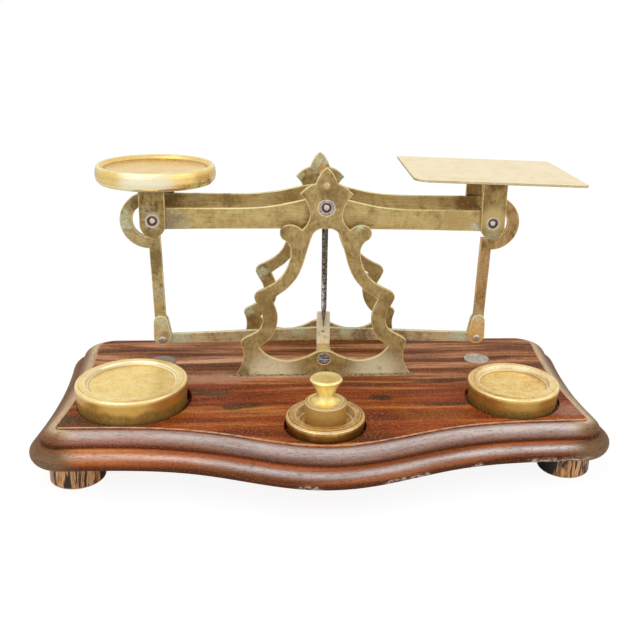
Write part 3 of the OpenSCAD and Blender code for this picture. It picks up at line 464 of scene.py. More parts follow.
# The marks by the angle round the roll and the lower round: pale wax with a painted sheen
# where the rounds face the lamps, and painted shade on their undersides. At the board's
# sides the pale sheen sits higher on the roll.
bloom = on_roll * hump(turn_roll, 64, 34, 30) + on_low * hump(turn_low, 44, 17, 16)
warm = on_low * hump(turn_low, 88, 22, 40) + 0.4 * on_low * hump(turn_low, 14, 14, 14)
# Painted shade: the roll's lower side and the lower round's underside.
dark = on_roll * hump(turn_roll, 0, 16, 14) + on_low * (turn_low < 2) * np.clip((2 - turn_low) / 26, 0, 1)
beside = np.clip((np.abs(rings[..., 0]) - 105) / 6, 0, 1)
bloom = (bloom[:, None] * (1 - beside) + (on_roll * hump(turn_roll, 96, 30, 40))[:, None] * beside).ravel()
moulding_wood = rosewood("rosewood_moulding", True)
make("board_moulding", [ribbon(rings, loop=True)], "root", "base_board", "rosewood", moulding_wood, grain=grain,
    bloom=bloom, warm=rows(warm), low=rows(dark))


# Four turned feet of a zebra-striped wood with the grain standing upright, each held under
# the board by a countersunk steel screw.
FEET = {"foot_front_left": (-107, -29.1), "foot_front_right": (107, -29.1), "foot_rear_left": (-107, 47.9),
    "foot_rear_right": (107, 47.9)}


def turned(line, centre, upright=True, reach=0.3, count=96, closed=False):
    """A lathe shape: each (radius, place) of the line, its corners eased, goes round an axis.
    An upright axis takes its line from the top down, and one along Y from front to back."""
    line, turns = eased(line, reach, closed)
    flat = centre + line[:, None, :1] * circle((0, 0), 1.0, count)
    along = np.broadcast_to(line[:, None, 1:], flat.shape[:2] + (1,))
    rings = np.concatenate([flat, along] if upright else [flat[..., :1], along, flat[..., 1:]], 2)
    return ribbon(rings, -turns if upright else turns, closed)


f = Finish("foot_wood")
here = f.place()
sway = f.noise(here, (6.0, 6.0, 14.0), 2.0)
stripe = f.noise(here, (1.15, 1.15, 15.0), 3.0, 0.55, 1.3)
fine = f.noise(here, (0.35, 0.35, 5.0), 3.0)
colour = f.tones(stripe * 0.8 + sway * 0.25, (0.45, 26, 12, 4), (0.49, 104, 60, 28), (0.54, 208, 148, 92),
    (0.64, 234, 186, 128))
colour = f.mix(fine.ramp(0.56, 0.68) * 0.5, colour, hue(50, 30, 18))
colour = f.worn(colour, 0.5, (206, 160, 112))
# Painted shadow: the inner side of the front right foot is painted near black, where the board's shade falls on
# it.
colour = f.mix(f.near(here, (94, -34, 7), 12.5).ramp(0.12, 0.3), colour, hue(8, 4, 2))
foot_wood = f.done(colour, 0.42 + fine * 0.15, relief=fine, depth=0.08, coat_weight=0.2, coat_roughness=0.3)
for foot, place in FEET.items():
    line = [(0, FOOT_H), (11.5, FOOT_H), (11.5, 0.6), (10.9, 0), (3.52, 0), (3.52, 1.0), (1.77, 2.75),
        (1.77, 5.0), (0, 5.0)]
    make(foot + "_turned", [turned(line, place)], "root", foot, "foot_wood", foot_wood)


# Slotted steel screws: one under each foot, and one in the front frame. They are turned
# from rod and have gone grey, with rust-brown specks.
def half_moons(x, z, radius, slot, y0, y1):
    """The two halves of a slotted head: arcs of a circle above and below the slot."""
    reach = np.degrees(np.arcsin(slot / 2 / radius))
    for start in (reach, 180 + reach):
        yield cut_plate(arc((x, z), radius, start, start + 180 - 2 * reach, 40), [], y0, y1, 0.14)


def cut_plate(outer, holes, y0, y1, ease=0.22):
    """A plate sawn to an outline in (x, z): rings that follow it inwards by a quarter round
    of radius ease at both faces, which are filled between the innermost rings."""
    loops = []
    for loop, hand in [(outer, 1)] + [(hole, -1) for hole in holes]:
        x, z = np.asarray(loop, float).T
        area = (x * np.roll(z, -1) - np.roll(x, -1) * z).sum()
        loops.append(np.asarray(loop, float)[:: hand if area > 0 else -hand])
    t = np.radians(np.linspace(0, 90, 4))
    inset = np.concatenate([[2.2 * ease], ease * (1 - np.sin(t))])
    depth = np.concatenate([[0], ease * (1 - np.cos(t))])
    inset, mark = np.concatenate([inset, inset[::-1]]), np.array([0, 0.8, 1, 1, 0.6, 0.6, 1, 1, 0.8, 0])
    depth = np.concatenate([y0 + depth, y1 - depth[::-1]])
    parts, faces = [], []
    for loop in loops:
        side = unit(np.roll(loop, -1, 0) - loop)
        normal = side[:, ::-1] * (-1, 1)
        both = normal + np.roll(normal, 1, 0)
        inward = both / np.maximum((both * both).sum(1, keepdims=True) / 2, 0.5)
        flat = loop + inset[:, None, None] * inward
        rings = np.stack([flat[..., 0], np.broadcast_to(depth[:, None], flat.shape[:2]), flat[..., 1]], 2)
        parts.append(ribbon(rings, mark))
        faces.append(rings)
    flat, tris = fill([rings[0][:, (0, 2)] for rings in faces])
    for y, group in ((y0, tris), (y1, tris[:, ::-1])):
        parts.append((np.insert(flat, 1, y, 1), [group], np.zeros(len(flat))))
    return merged(parts)


f = Finish("screw_steel")
here = f.place()
cloud = f.noise(here, 1.6, 4.0, 0.6)
speck = f.noise(here, 0.45, 3.0, 0.6)
colour = f.tones(cloud, (0.36, 92, 92, 94), (0.5, 148, 150, 154), (0.64, 206, 208, 214))
colour = f.mix(speck.ramp(0.6, 0.7) * 0.7, colour, hue(92, 66, 48))
colour = f.worn(colour, 0.7, (208, 204, 198))
screw_steel = f.done(colour, 0.42 + speck * 0.2, 0.85, relief=speck, depth=0.05)
for screw, (x, y) in FEET.items():
    head = [turned([(0, 7.0), (1.74, 7.0), (1.74, 2.75), (2.6, 1.85), (0, 1.85)], (x, y))]
    for p, faces, e in half_moons(x, y, 3.48, 1.0, 1.0, 1.9):
        head.append((np.stack([p[:, 0], p[:, 2], p[:, 1]], 1), [g[:, ::-1] for g in faces], e))
    make(screw + "_screw", head, "root", "foot_screws", "screw_steel", screw_steel)


# Two lyre-shaped plates, pierced and sawn from 2 mm brass sheet and filed along their edges.
# They stand in slots in the board.

# The middle plane of the mechanism, how far each plate stands from it, the plates' height, and
# the heights of their holes above the panel.
MECH_Y, PLATE_OFF, PLATE_H = 34.9, 21.2, 99.6
SCREW_UP, BEARING_UP, PILLAR_UP = 7.8, 81.3, 91.4


def smooth(points, steps=6):
    """A Catmull-Rom curve through the points, without its last one."""
    p = np.array(points, float)
    k = np.arange(len(p) - 1)
    a, b, c, d = p[np.maximum(k - 1, 0)], p[k], p[k + 1], p[np.minimum(k + 2, len(p) - 1)]
    t = (np.arange(steps) / steps)[:, None, None]
    curve = 0.5 * (2 * b + (c - a) * t + (2 * a - 5 * b + 4 * c - d) * t * t + (3 * b - a - 3 * c + d) * t**3)
    return curve.transpose(1, 0, 2).reshape(-1, 2)


def both_sides(half):
    """A right half from the top middle to the bottom middle, and its mirror image back up."""
    half = np.asarray(half, float)
    mirror = (half * (-1, 1))[::-1]
    return np.concatenate([half, mirror[1 if half[-1, 0] == 0 else 0 : -1 if half[0, 0] == 0 else None]])


LYRE = [[(0, PLATE_H), (2, 97.9), (3.9, 94.9), (4.9, 92.3)], [(4.9, 92.3), (8.7, 90.6), (12, 87.5)],
    [(12, 87.5), (9.6, 84.6), (7.9, 80.6), (7.5, 77), (8.8, 73.4), (10.9, 71)],
    [(10.9, 71), (13.6, 72.8), (17, 73.3), (20, 72), (21, 69.4), (20, 66.8), (17.8, 65.2), (16.2, 62.2),
    (16.2, 58), (17.6, 53.2), (20, 48.9), (23.5, 45.6), (27.6, 43.2), (31.4, 41.2), (32.8, 38.7), (31.5, 35.3),
    (29.3, 31), (29, 26.6), (30.5, 22.8), (34, 20.4), (38, 18.2), (39.2, 16.2), (38.1, 12), (38.3, 7.2),
    (40, 2.6), (41.7, 0)]]
OPENING = [[(0, 71.7), (2.9, 71.4), (5.6, 69.5), (7.2, 65.5), (8.8, 60), (10.6, 53.9), (13.4, 47.9), (17.5, 43),
    (21.2, 40.2), (24.8, 37.6)], [(24.8, 37.6), (22.9, 33), (22, 28.2), (23, 22.7), (26, 17.6), (30.8, 13.9)],
    [(30.8, 13.9), (27.2, 9.8), (21.3, 7.2), (15.2, 6.8), (8.5, 8.7), (3.2, 11.3), (0, 11.9)]]


def brass(name, light, middle, dark, run=(9.0, 0.3, 0.3), patina=0.3, rough=0.34, metal=0.6, calm=1.0,
        turned=0.0, stain=(104, 84, 44), rim=None, green=(), patches=(), painted_highlights=(), highlight_colour=(224, 204, 152)):
    """Old brass: fine brushing along run, clouds between three tones, olive-brown patina in
    its hollows and bright worn edges. Around given points it has pale verdigris (green: x, y,
    z, reach), patches of another colour (patches: x, y, z, reach, red, green, blue) or a
    smooth painted highlight in a pale colour (x, y, z, reach). Turned adds the lathe's
    fine rings, read from the mark "lathe"."""
    f = Finish(name)
    here = f.place()
    brush = f.noise(here, run, 2.0, 0.6)
    cloud = f.noise(here, 6.0, 4.0, 0.62, 0.4)
    small = f.noise(here, 1.5, 4.0, 0.65, 0.3)
    speck = f.noise(here, 0.5, 3.0, 0.65)
    value = (cloud * 0.45 + brush * 0.3 + small * 0.2 + speck * 0.15 - 0.55) * calm + 0.53
    relief = brush * 0.5 + small * 0.3 + speck * 0.3
    if turned:
        rings = f.lathe(0.16)
        value = value + (rings - 0.5) * (0.3 * turned * calm)
        relief = relief + rings * 0.7
    colour = f.tones(value, (0.41, *dark), (0.52, *middle), (0.64, *light))
    # Painted highlights: a smooth pale colour laid round given points.
    for *point, reach in painted_highlights:
        colour = f.mix(f.near(here, point, reach).ramp(0.0, 0.9) * 0.85, colour, hue(*highlight_colour))
    old = (cloud * 0.5 + small * 0.5).ramp(0.54, 0.66) * patina
    old = old + speck.ramp(0.58, 0.66) * small.ramp(0.42, 0.58) * (0.3 + patina * 0.6)
    edge = f.mark("edge")
    old = (old + (0 - edge).ramp(0.15, 0.9) * 0.75).maths("MINIMUM", 0.95)
    colour = f.mix(old, colour, hue(*stain))
    worn = edge.ramp(0.15, 0.9) * small.ramp(0.3, 0.52, 0.35, 0.9)
    colour = f.mix(worn, colour, hue(*(rim or [min(part * 1.16 + 14, 250) for part in light])))
    metal, coarse = metal - old * (0.45 * metal), rough + small * 0.14 + old * 0.25 - worn * 0.08
    blotch, uneven = small * 1.1 + speck * 0.9, f.stirred(here, 3.5, 1.6)
    for x, y, z, reach, *shade in [(*spot, 228, 236, 200) for spot in green] + list(patches):
        share = (f.near(uneven, (x, y, z), reach * 1.15) * (blotch * 3.4 - 2.4)).ramp(0.1, 0.9) * 0.75
        colour = f.mix(share, colour, f.mix(speck.ramp(0.4, 0.6), hue(*[part * 0.8 for part in shade]),
            hue(*shade)))
        coarse = coarse + share * 0.2
    return f.done(colour, coarse, metal, relief=relief, depth=0.04)


outer = np.concatenate([smooth(stretch) for stretch in LYRE] + [[(41.7, 0), (41.7, -0.4)]])
opening = np.concatenate([smooth(stretch) for stretch in OPENING] + [[(0, 11.9)]])
# Painted light: the two highlights on the sill stand in for the lamps' light on its front.
front_brass = brass("frame_brass", (200, 176, 118), (170, 144, 88), (128, 100, 50), (1.4, 1.4, 2.6), 0.35, 0.42,
    0.3, green=((-15, 13, 112, 6.0), (16, 13, 103, 6.0), (-1, 56, 122, 9.0), (-13, 56, 116, 6.0),
    (12, 56, 114, 6.0), (-31, 56, 66, 5.0), (-38, 56, 46, 6.0)),
    patches=((-22, 13, 99, 6.5, 132, 102, 50), (2, 13, 116, 9.0, 142, 112, 58),
    (-39, 13, 29, 7.0, 150, 126, 74), (33, 13, 62, 12.0, 146, 114, 56), (-26, 13, 62, 14.0, 148, 118, 60),
    (40, 13, 29, 7.0, 216, 204, 168)), painted_highlights=((-25, 13, 27, 21.0), (25, 13, 27, 21.0)), highlight_colour=(250, 248, 210))
for lyre, side, lean in (("front_frame", -1, 0.0), ("rear_frame", 1, -1.2)):
    y = MECH_Y + side * PLATE_OFF
    loops = [both_sides(outer), both_sides(opening), circle((0, BEARING_UP), 3.81, 48),
        circle((0, PILLAR_UP), 1.61, 24)]
    loops += [circle((0, SCREW_UP), 3.0, 40)] if side < 0 else []
    # The rear plate's outline drifts to the left with its height; its two holes stay in line.
    loops = [loop + np.stack([lean * loop[:, 1] / PLATE_H, np.full(len(loop), PANEL_Z)], 1) for loop in loops]
    loops[2:4] = [loop - (lean * up / PLATE_H, 0) for loop, up in zip(loops[2:4], (BEARING_UP, PILLAR_UP))]
    make(lyre + "_lyre", [cut_plate(loops[0], loops[1:], y - 1, y + 1, 0.24)], "root", lyre, "frame_brass",
        front_brass)


# A round brass pillar joins the tops of the two plates. Its ends are turned down, put
# through the plates and riveted over, so each shows as a small pale domed spot.
def lathe_rings(part, centre, upright=True):
    """The mark of the tool on a turned part: how far a point is from the axis, less its
    place along it, so it runs out over a face and on down a wall."""
    x, y, z = part[0].T
    return np.hypot(x - centre[0], (y if upright else z) - centre[1]) - (z if upright else y)


pillar_brass = brass("pillar_brass", (236, 176, 96), (212, 146, 72), (156, 98, 46), (0.3, 6.0, 0.3), 0.2, 0.34,
    0.5, turned=1.0, patches=((0, 12.8, 119.4, 3.4, 226, 208, 160), (0, 57, 119.4, 3.4, 226, 208, 160)))
post = turned([(0, 12.82), (0.9, 12.7), (1.6, 12.95), (1.6, 14.6), (2.2, 14.7), (2.2, 55.1), (1.6, 55.2),
    (1.6, 56.9), (0.9, 57.1), (0, 57.0)], (0, PANEL_Z + PILLAR_UP), False, 0.2, 48)
make("pillar", [post], "root", "frame_pillar", "pillar_brass", pillar_brass,
    lathe=lathe_rings(post, (0, PANEL_Z + PILLAR_UP), False))


# Steel bearing rings are pressed into the plates. Each has a dished outer face, coloured dark
# in the recess round the pin's end and worn pale where it stands proud.

RECESS = 2.3  # radius of the dished recess


def bearing(x, z, radius, bore, y0, y1, side):
    """A ring turned along Y, its bore opening into a dished recess on the side it faces."""
    line = [(radius, y0), (radius, y1), (RECESS, y1), (RECESS, y1 - 0.7), (bore, y1 - 0.7), (bore, y0)]
    if side < 0:
        line = [(r, y0 + y1 - y) for r, y in line][::-1]
    return turned(line, (x, z), False, 0.16, 64, closed=True)


f = Finish("bearing_steel")
here = f.place()
small = f.noise(here, 1.1, 4.0, 0.6)
rings = f.lathe(0.14)
colour = f.tones(small * 0.6 + rings * 0.4, (0.38, 112, 98, 92), (0.5, 168, 152, 146), (0.62, 214, 200, 196))
colour = f.worn(colour, 0.8, (236, 228, 224))
# Darker in the recess round the pin's end, read from the mark bore.
colour = f.mix(f.mark("bore").ramp(0.2, 0.9), colour, f.mix(small, hue(30, 20, 14), hue(130, 108, 92)))
bearing_steel = f.done(colour, 0.36 + small * 0.2, 0.85, relief=rings, depth=0.03)
CENTRE_Z = PANEL_Z + BEARING_UP


def in_recess(part, centre):
    """The mark of the points inside the recess of a ring."""
    return np.hypot(part[0][:, 0] - centre[0], part[0][:, 2] - centre[1]) < RECESS + 0.04


for side, word in ((-1, "front"), (1, "rear")):
    y = MECH_Y + side * PLATE_OFF
    ring = bearing(0, CENTRE_Z, 3.8, 1.65, y - 1, y + 1, side)
    make(word + "_ring", [ring], "root", word + "_centre_bearing", "bearing_steel", bearing_steel,
        lathe=lathe_rings(ring, (0, CENTRE_Z), False), bore=in_recess(ring, (0, CENTRE_Z)))


# The index: a brass block screwed behind the front plate's sill carries an upright strip with
# a fine line down its middle, against which the pointer is read. The strip is very pale: its
# own worn brass, and painted light where the lamps fall on it.
index_brass = brass("index_brass", (255, 248, 220), (248, 234, 198), (214, 194, 150), (1.0, 1.0, 4.0), 0.25,
    0.45, 0.2, green=((1, 24, 50, 4.0),))
RIVET_UP = 17.7  # height of the stay's rivet above the panel
screw_hole = circle((0, SCREW_UP), 1.31, 24)
block = cut_plate([(-3.2, 4.4), (3.2, 4.4), (3.2, 11.2), (-3.2, 11.2)], [screw_hole], MECH_Y - 20.2,
    MECH_Y - 11.2, 0.2)
block[0][:, 2] += PANEL_Z
make("index_block_sawn", [block], "root", "index_block", "frame_brass", front_brass)
outline = np.concatenate([[(-3.2, 4.4), (3.2, 4.4)], arc((2.4, 26.8), 0.8, 0, 90, 6),
    arc((-2.4, 26.8), 0.8, 90, 180, 6)])
holes = [screw_hole, circle((0, RIVET_UP), 1.01, 24)]
strip = cut_plate(outline, holes, MECH_Y - 11.2, MECH_Y - 10, 0.12)
strip[0][:, 2] += PANEL_Z
make("index_strip", [strip], "root", "index_plate", "link_brass", index_brass)

y = MECH_Y - 22.2
head = [turned([(0, y + 0.55), (2.9, y + 0.55), (2.9, y + 1), (1.3, y + 1), (1.3, y + 11), (0, y + 11)],
    (0, PANEL_Z + SCREW_UP), False)]
head += list(half_moons(0, PANEL_Z + SCREW_UP, 2.9, 0.8, y, y + 0.6))
make("sill_screw", head, "root", "frame_screw", "screw_steel", screw_steel)

f = Finish("pin_steel")
here = f.place()
small = f.noise(here, 0.9, 4.0, 0.6)
rings = f.lathe(0.12)
colour = f.tones(small * 0.6 + rings * 0.4, (0.38, 178, 160, 140), (0.5, 222, 206, 186), (0.62, 250, 240, 228))
colour = f.mix(small.ramp(0.58, 0.68) * 0.5, colour, hue(104, 78, 54))
pin_steel = f.done(colour, 0.3 + small * 0.15, 0.9, relief=rings, depth=0.02)


def pin(name, stands_for, rides, x, z, line, count=40):
    """A turned steel pin along Y with softly domed ends."""
    part = turned(line, (x, z), False, 0.22, count)
    make(name, [part], rides, stands_for, "pin_steel", pin_steel, lathe=lathe_rings(part, (x, z), False))


pin("stay_rivet", "stay_pivot", "root", 0, PANEL_Z + RIVET_UP, [(0, 23.7), (1, 23.7), (1, 24.9), (1.9, 24.9),
    (1.9, 33.7), (1, 33.7), (1, 36.1), (1.9, 36.1), (1.9, 36.6), (0, 36.6)])


# Two felt discs are glued to the board under the clevises and stop the beam's swing. Their
# grey felt is matted, with a pale frayed rim that was cut by hand.

ARM = 78  # half the beam: the discs lie below its end pins
f = Finish("stop_felt")
here = f.place()
hair = f.noise(here, (0.35, 0.35, 0.35), 4.0, 0.7, 1.2)
cloud = f.noise(here, 2.4, 4.0, 0.6)
colour = f.tones(hair * 0.5 + cloud * 0.5, (0.40, 136, 122, 106), (0.5, 200, 184, 162), (0.6, 232, 220, 200))
colour = f.worn(colour, 0.6, (230, 220, 206), 0.05, 0.6)
colour = f.mix(f.axis(here, 0).ramp(0.0, -20.0, 0.0, 0.85), colour, hue(132, 106, 72))
felt = f.done(colour, 0.95, relief=hair, depth=0.25, sheen_weight=0.4)
for side, word in ((-1, "left"), (1, "right")):
    disc = turned([(0, 0.72), (2, 0.76), (4.4, 0.7), (5.6, 0.78), (6.25, 0.6), (6.3, 0.3), (6.2, 0), (0, 0)],
        (0, 0), True, 0.25, 120)
    x, y, z = disc[0].T
    turn = np.arctan2(y, x)
    r = 1 + 0.012 * np.sin(3 * turn + side) + 0.006 * np.sin(11 * turn + 2 * side) + 0.004 * np.sin(23 * turn)
    swell = 0.03 * np.sin(2.1 * x + 1.3 * y) * np.sin(1.7 * y - 0.6 * x) * (z > 0.5)
    points = np.stack([side * ARM + x * r, MECH_Y - 6.2 + y * r, PANEL_Z + z + swell], 1)
    make(word + "_felt", [(points, *disc[1:])], "root", word + "_stop_disc", "felt", felt)


# The beam: two equal bars of 1.8 mm brass with round ends and a swelling in the middle. They
# are brushed along their length, filed bright at the edges, and stand on three steel pins.

# Height of the end pins, how far the middle pin lies above them, and the bars' distance.
END_Z, PIN_RISE, BAR_OFF = PANEL_Z + 73.7, 7.6, 16


def bar_outline():
    """Round ends joined by a bell-shaped top edge and a shallow arch below."""
    x = np.linspace(-ARM, ARM, 81)[1:-1]
    bell = lambda x: np.exp(-((x / 20) ** 2)) - np.exp(-((ARM / 20) ** 2))
    top = np.stack([x, 0.75 + 5 + 5.6 * bell(x)], 1)
    low = np.stack([x[::-1], 0.75 - 5 + 0.8 * (1 - (x / ARM) ** 2)], 1)
    return np.concatenate([arc((-ARM, 0.75), 5, 270, 90, 24), top, arc((ARM, 0.75), 5, 90, -90, 24), low])


# The dark brown patches at the rear bar's ends, beside the brackets, are patina with painted shade.
beam_brass = brass("beam_brass", (222, 198, 136), (190, 163, 104), (142, 114, 62), (12.0, 1.5, 0.3), 0.25, 0.34,
    0.7, 0.9, patches=((-69, 18, 102, 9.0, 142, 128, 114), (-64, 18, 99, 6.0, 206, 194, 150),
    (-72, 18, 98, 5.0, 176, 166, 150), (-73, 51, 103, 9.0, 112, 80, 30), (-62, 51, 106, 4.0, 204, 190, 150),
    (-46, 51, 104, 6.0, 150, 120, 66), (71, 18, 98.5, 6.0, 228, 222, 204), (73, 51, 104, 11.0, 126, 90, 38),
    (60, 18, 102, 10.0, 206, 176, 112), (-26, 51, 108, 5.0, 212, 194, 140)))
for side, word in ((-1, "front"), (1, "rear")):
    y = MECH_Y + side * BAR_OFF
    holes = [circle((x, z), r, 32) for x, z, r in ((-ARM, 0, 1.51), (ARM, 0, 1.51), (0, PIN_RISE, 1.61))]
    bar = cut_plate(bar_outline(), holes, y - 0.9, y + 0.9, 0.2)
    bar[0][:, 2] += END_Z
    make(word + "_bar", [bar], "beam", word + "_beam_bar", "beam_brass", beam_brass)
pin("middle_pin", "centre_pin", "beam", 0, CENTRE_Z, [(0, 12.95), (1.0, 13.0), (1.6, 13.3), (1.6, 56.5),
    (1.0, 56.8), (0, 56.85)])
for side, word in ((-1, "left"), (1, "right")):
    pin(word + "_pin", word + "_end_pin", "beam", side * ARM, END_Z, [(0, 16.35), (0.9, 16.4), (1.5, 16.7),
        (1.5, 53.1), (0.9, 53.4), (0, 53.45)])


# The pointer: a blackened iron needle with a boss that is pressed on the middle pin. It
# tapers to its tip in front of the index strip, and its black has worn to grey specks.
f = Finish("pointer_iron")
here = f.place()
speck = f.noise(here, 0.8, 5.0, 0.7)
colour = f.tones(speck, (0.40, 44, 38, 34), (0.5, 100, 92, 80), (0.6, 178, 166, 148))
bare = f.axis(here, 0).ramp(0.6, -0.8) * f.axis(here, 2).ramp(80.0, 66.0) * f.axis(here, 2).ramp(55.0, 59.0)
colour = f.mix(bare * speck.ramp(0.42, 0.54), colour, hue(232, 232, 226))
colour = f.worn(colour, 0.5, (128, 120, 106))
pointer_iron = f.done(colour, 0.5 + speck * 0.2, 0.7, relief=speck, depth=0.05)
y = MECH_Y - 12.35
needle = [(0.15, 48.6), (1.25, 58.6), (1.49, CENTRE_Z - 2), (-1.49, CENTRE_Z - 2), (-1.25, 58.6), (-0.15, 48.6)]
parts = [cut_plate(needle, [], y - 0.55, y + 0.55, 0.14), bearing(0, CENTRE_Z, 3.1, 1.62, y - 1.1, y + 1.1, -1)]
make("needle", parts, "beam", "pointer", "pointer_iron", pointer_iron)


# Two brackets hang on the beam's end pins: strip of 1.5 mm brass bent to a U, with round
# ends below, steel rings for the pins, and a web on top that carries the pan or the plate.

# How far the legs stand from the middle plane, and the height of each web's top above the pins.
LEG_OFF = 17.95
SEATS = {-1: 18.98, 1: 20.77}


def laid(part, height):
    """A plate that was worked out upright, laid flat with its front face on top at a height."""
    x, y, z = part[0].T
    return np.stack([x, z, height - y], 1), part[1], part[2]


# The dark brown patches at the tops of the front legs, under the pan and the letter plate, are painted shadow;
# the pale golden patch on the right bracket's front leg is a painted highlight.
bracket_brass = brass("bracket_brass", (190, 164, 108), (150, 122, 70), (100, 76, 34), (1.4, 1.4, 4.0), 0.4,
    0.36, 0.65, patches=((-78, 16, 120, 8.0, 98, 70, 26), (-80, 16, 108, 4.0, 190, 178, 140),
    (-78, 16, 94, 7.0, 150, 128, 74), (-78, 16, 101.7, 5.4, 206, 196, 184), (78, 16, 121, 7.0, 104, 74, 32),
    (78, 16, 96, 5.0, 180, 176, 140)), painted_highlights=((78, 16, 104, 11.0),), highlight_colour=(206, 180, 120))
for side, word in ((-1, "left"), (1, "right")):
    seat, x = SEATS[side], side * ARM
    leg = np.concatenate([arc((x, END_Z - 1.9), 5.7, 180, 360, 33), [(x + 5.7, END_Z + seat - 0.03),
        (x - 5.7, END_Z + seat - 0.03)]])
    ring = circle((x, END_Z), 3.01, 48)
    legs = [cut_plate(leg, [ring], MECH_Y + s - 0.75, MECH_Y + s + 0.75, 0.2) for s in (-LEG_OFF, LEG_OFF)]
    slot = [(x + side * 1.6 + u, MECH_Y + v) for u, v in ((-3.5, -1.25), (3.5, -1.25), (3.5, 1.25),
        (-3.5, 1.25))]
    web = [(x + u, MECH_Y + v) for u, v in ((-5.68, -18.6), (5.68, -18.6), (5.68, 18.6), (-5.68, 18.6))]
    legs.append(laid(cut_plate(web, [slot], 0, 1.5, 0.2), END_Z + seat))
    make(word + "_bracket_bent", legs, word + "_carrier", word + "_bracket", "link_brass", bracket_brass)
    rings = merged([bearing(x, END_Z, 3.0, 1.55, y - 0.75, y + 0.75, s) for s,
        y in ((-1, MECH_Y - LEG_OFF), (1, MECH_Y + LEG_OFF))])
    make(word + "_rings", [rings], word + "_carrier", word + "_bearings", "bearing_steel", bearing_steel,
        lathe=lathe_rings(rings, (x, END_Z), False), bore=in_recess(rings, (x, END_Z)))


# A flat stem runs down from each web, bows outwards round the end pin, and ends in a clevis
# of two leaf-shaped cheeks, riveted on, that holds the end of the stay.

STAY_Z = PANEL_Z + 10.1  # height of the stay's two ends


def stem_outline(side):
    """Outside round of the bow, foot, straight inner side, and the bow's inside back up."""
    seat, bow_out, bow_in = SEATS[side] - 0.2, 13.4, 7.7
    tip, foot = np.degrees(np.arccos(0.9 / bow_out)), np.degrees(np.arccos(0.35 / bow_out))
    stop = 180 - np.degrees(np.arcsin(7.4 / bow_in))
    out = arc((4.2, -4.1), bow_out, tip, -foot, 48)
    inside = arc((4.2, -4.1), bow_in, -stop, stop, 40)
    line = np.concatenate([[(-1.9, 3.3), (-1.9, seat), (5.1, seat)], out, [(3.25, -60.4), (-2.05, -60.4),
        (-0.75, -11.5)], inside])
    return line * (side, 1) + (side * ARM, END_Z)


stem_brass = {-1: brass("left_stem_brass", (206, 186, 134), (172, 150, 100), (124, 102, 56), (3.0, 1.0, 0.6),
    0.35, 0.38, 0.6, green=((-93.4, 33.6, 101, 4.0), (-94.2, 33.6, 97.6, 4.4), (-93.6, 33.6, 94, 4.0)),
    patches=((-88, 33.6, 106, 5.0, 128, 104, 56), (-79, 33.6, 62, 6.0, 214, 202, 168),
    (-79, 33.6, 80, 10.0, 138, 112, 58))),
    1: brass("right_stem_brass", (206, 172, 118), (176, 140, 88), (130, 98, 54), (1.2, 1.0, 4.0), 0.3, 0.36,
    0.6, patches=((79, 33.6, 74, 14.0, 206, 168, 116), (79, 33.6, 50, 9.0, 216, 190, 146)))}
clevis_brass = brass("clevis_brass", (240, 216, 162), (216, 188, 132), (166, 138, 88), (1.5, 1.5, 3.0), 0.3,
    0.45, 0.3, green=((-78.4, 32, 47.6, 5.0), (78.4, 32, 48, 3.6), (-80, 32, 38, 3.5)),
    patches=((78, 32, 40, 12.0, 255, 204, 118), (-77, 32, 40, 4.0, 176, 158, 116)))


def leaf(x, side):
    """The outline round two discs, a large one below and a small one above, with the
    straight lines that touch both."""
    low, high = np.array([x, STAY_Z + 1.4]), np.array([x + side * 0.6, STAY_Z + 9.0])
    along = np.degrees(np.arctan2(*(high - low)[::-1]))
    touch = np.degrees(np.arccos(0.8 / np.linalg.norm(high - low)))
    return np.concatenate([arc(low, 4.2, along + touch, along - touch + 360, 40),
        arc(high, 3.4, along - touch, along + touch, 30)])


for side, word in ((-1, "left"), (1, "right")):
    x = side * ARM
    make(word + "_stem_sawn", [cut_plate(stem_outline(side), [], MECH_Y - 1.25, MECH_Y + 1.25, 0.2)],
        word + "_carrier", word + "_stem", "link_brass", stem_brass[side])
    hole = circle((x, STAY_Z), 1.01, 24)
    cheeks = [cut_plate(leaf(x, side), [hole], MECH_Y + s - 0.7, MECH_Y + s + 0.7, 0.25) for s in (-1.95, 1.95)]
    make(word + "_cheeks", cheeks, word + "_carrier", word + "_clevis", "link_brass", clevis_brass)
    pin(word + "_rivet", word + "_stay_pin", word + "_carrier", x, STAY_Z,
        [(0, 31.65), (1.0, 31.7), (1.9, 31.95), (1.9, 32.25), (1, 32.25), (1, 37.55), (1.9, 37.55),
        (1.9, 37.85), (1.0, 38.1), (0, 38.15)])


# The stay: a thin link of 2 mm brass, deeper in its middle, whose ear turns on the index
# strip's rivet. It keeps both carriers upright, and has brown veins and pale ends.
half = np.concatenate([[(0, 10.4)], arc((0, PIN_RISE), 2.8, 90, 0, 16)[1:], [(2.8, 5.43)],
    arc((ARM, 0), 2.4, 90, -90, 20), [(0, -0.75)]])
holes = [circle((x, z), 1.05, 24) for x, z in ((-ARM, 0), (ARM, 0), (0, PIN_RISE))]
link = cut_plate(both_sides(half), holes, MECH_Y - 1, MECH_Y + 1, 0.18)
link[0][:, 2] += STAY_Z
stay_brass = brass("stay_brass", (232, 212, 168), (206, 182, 134), (152, 120, 74), (8.0, 1.0, 0.6), 0.35, 0.42,
    0.2, green=((-71, 34, 38, 10.0), (70, 34, 38, 9.0), (-12, 34, 44, 5.0), (12, 34, 44, 6.0)),
    patches=((20, 34, 38, 9.0, 122, 88, 52), (40, 34, 37, 7.0, 128, 96, 60),
    (-30, 34, 38, 10.0, 186, 164, 116)))
make("stay_link", [link], "stay", "stay_bar", "link_brass", stay_brass)
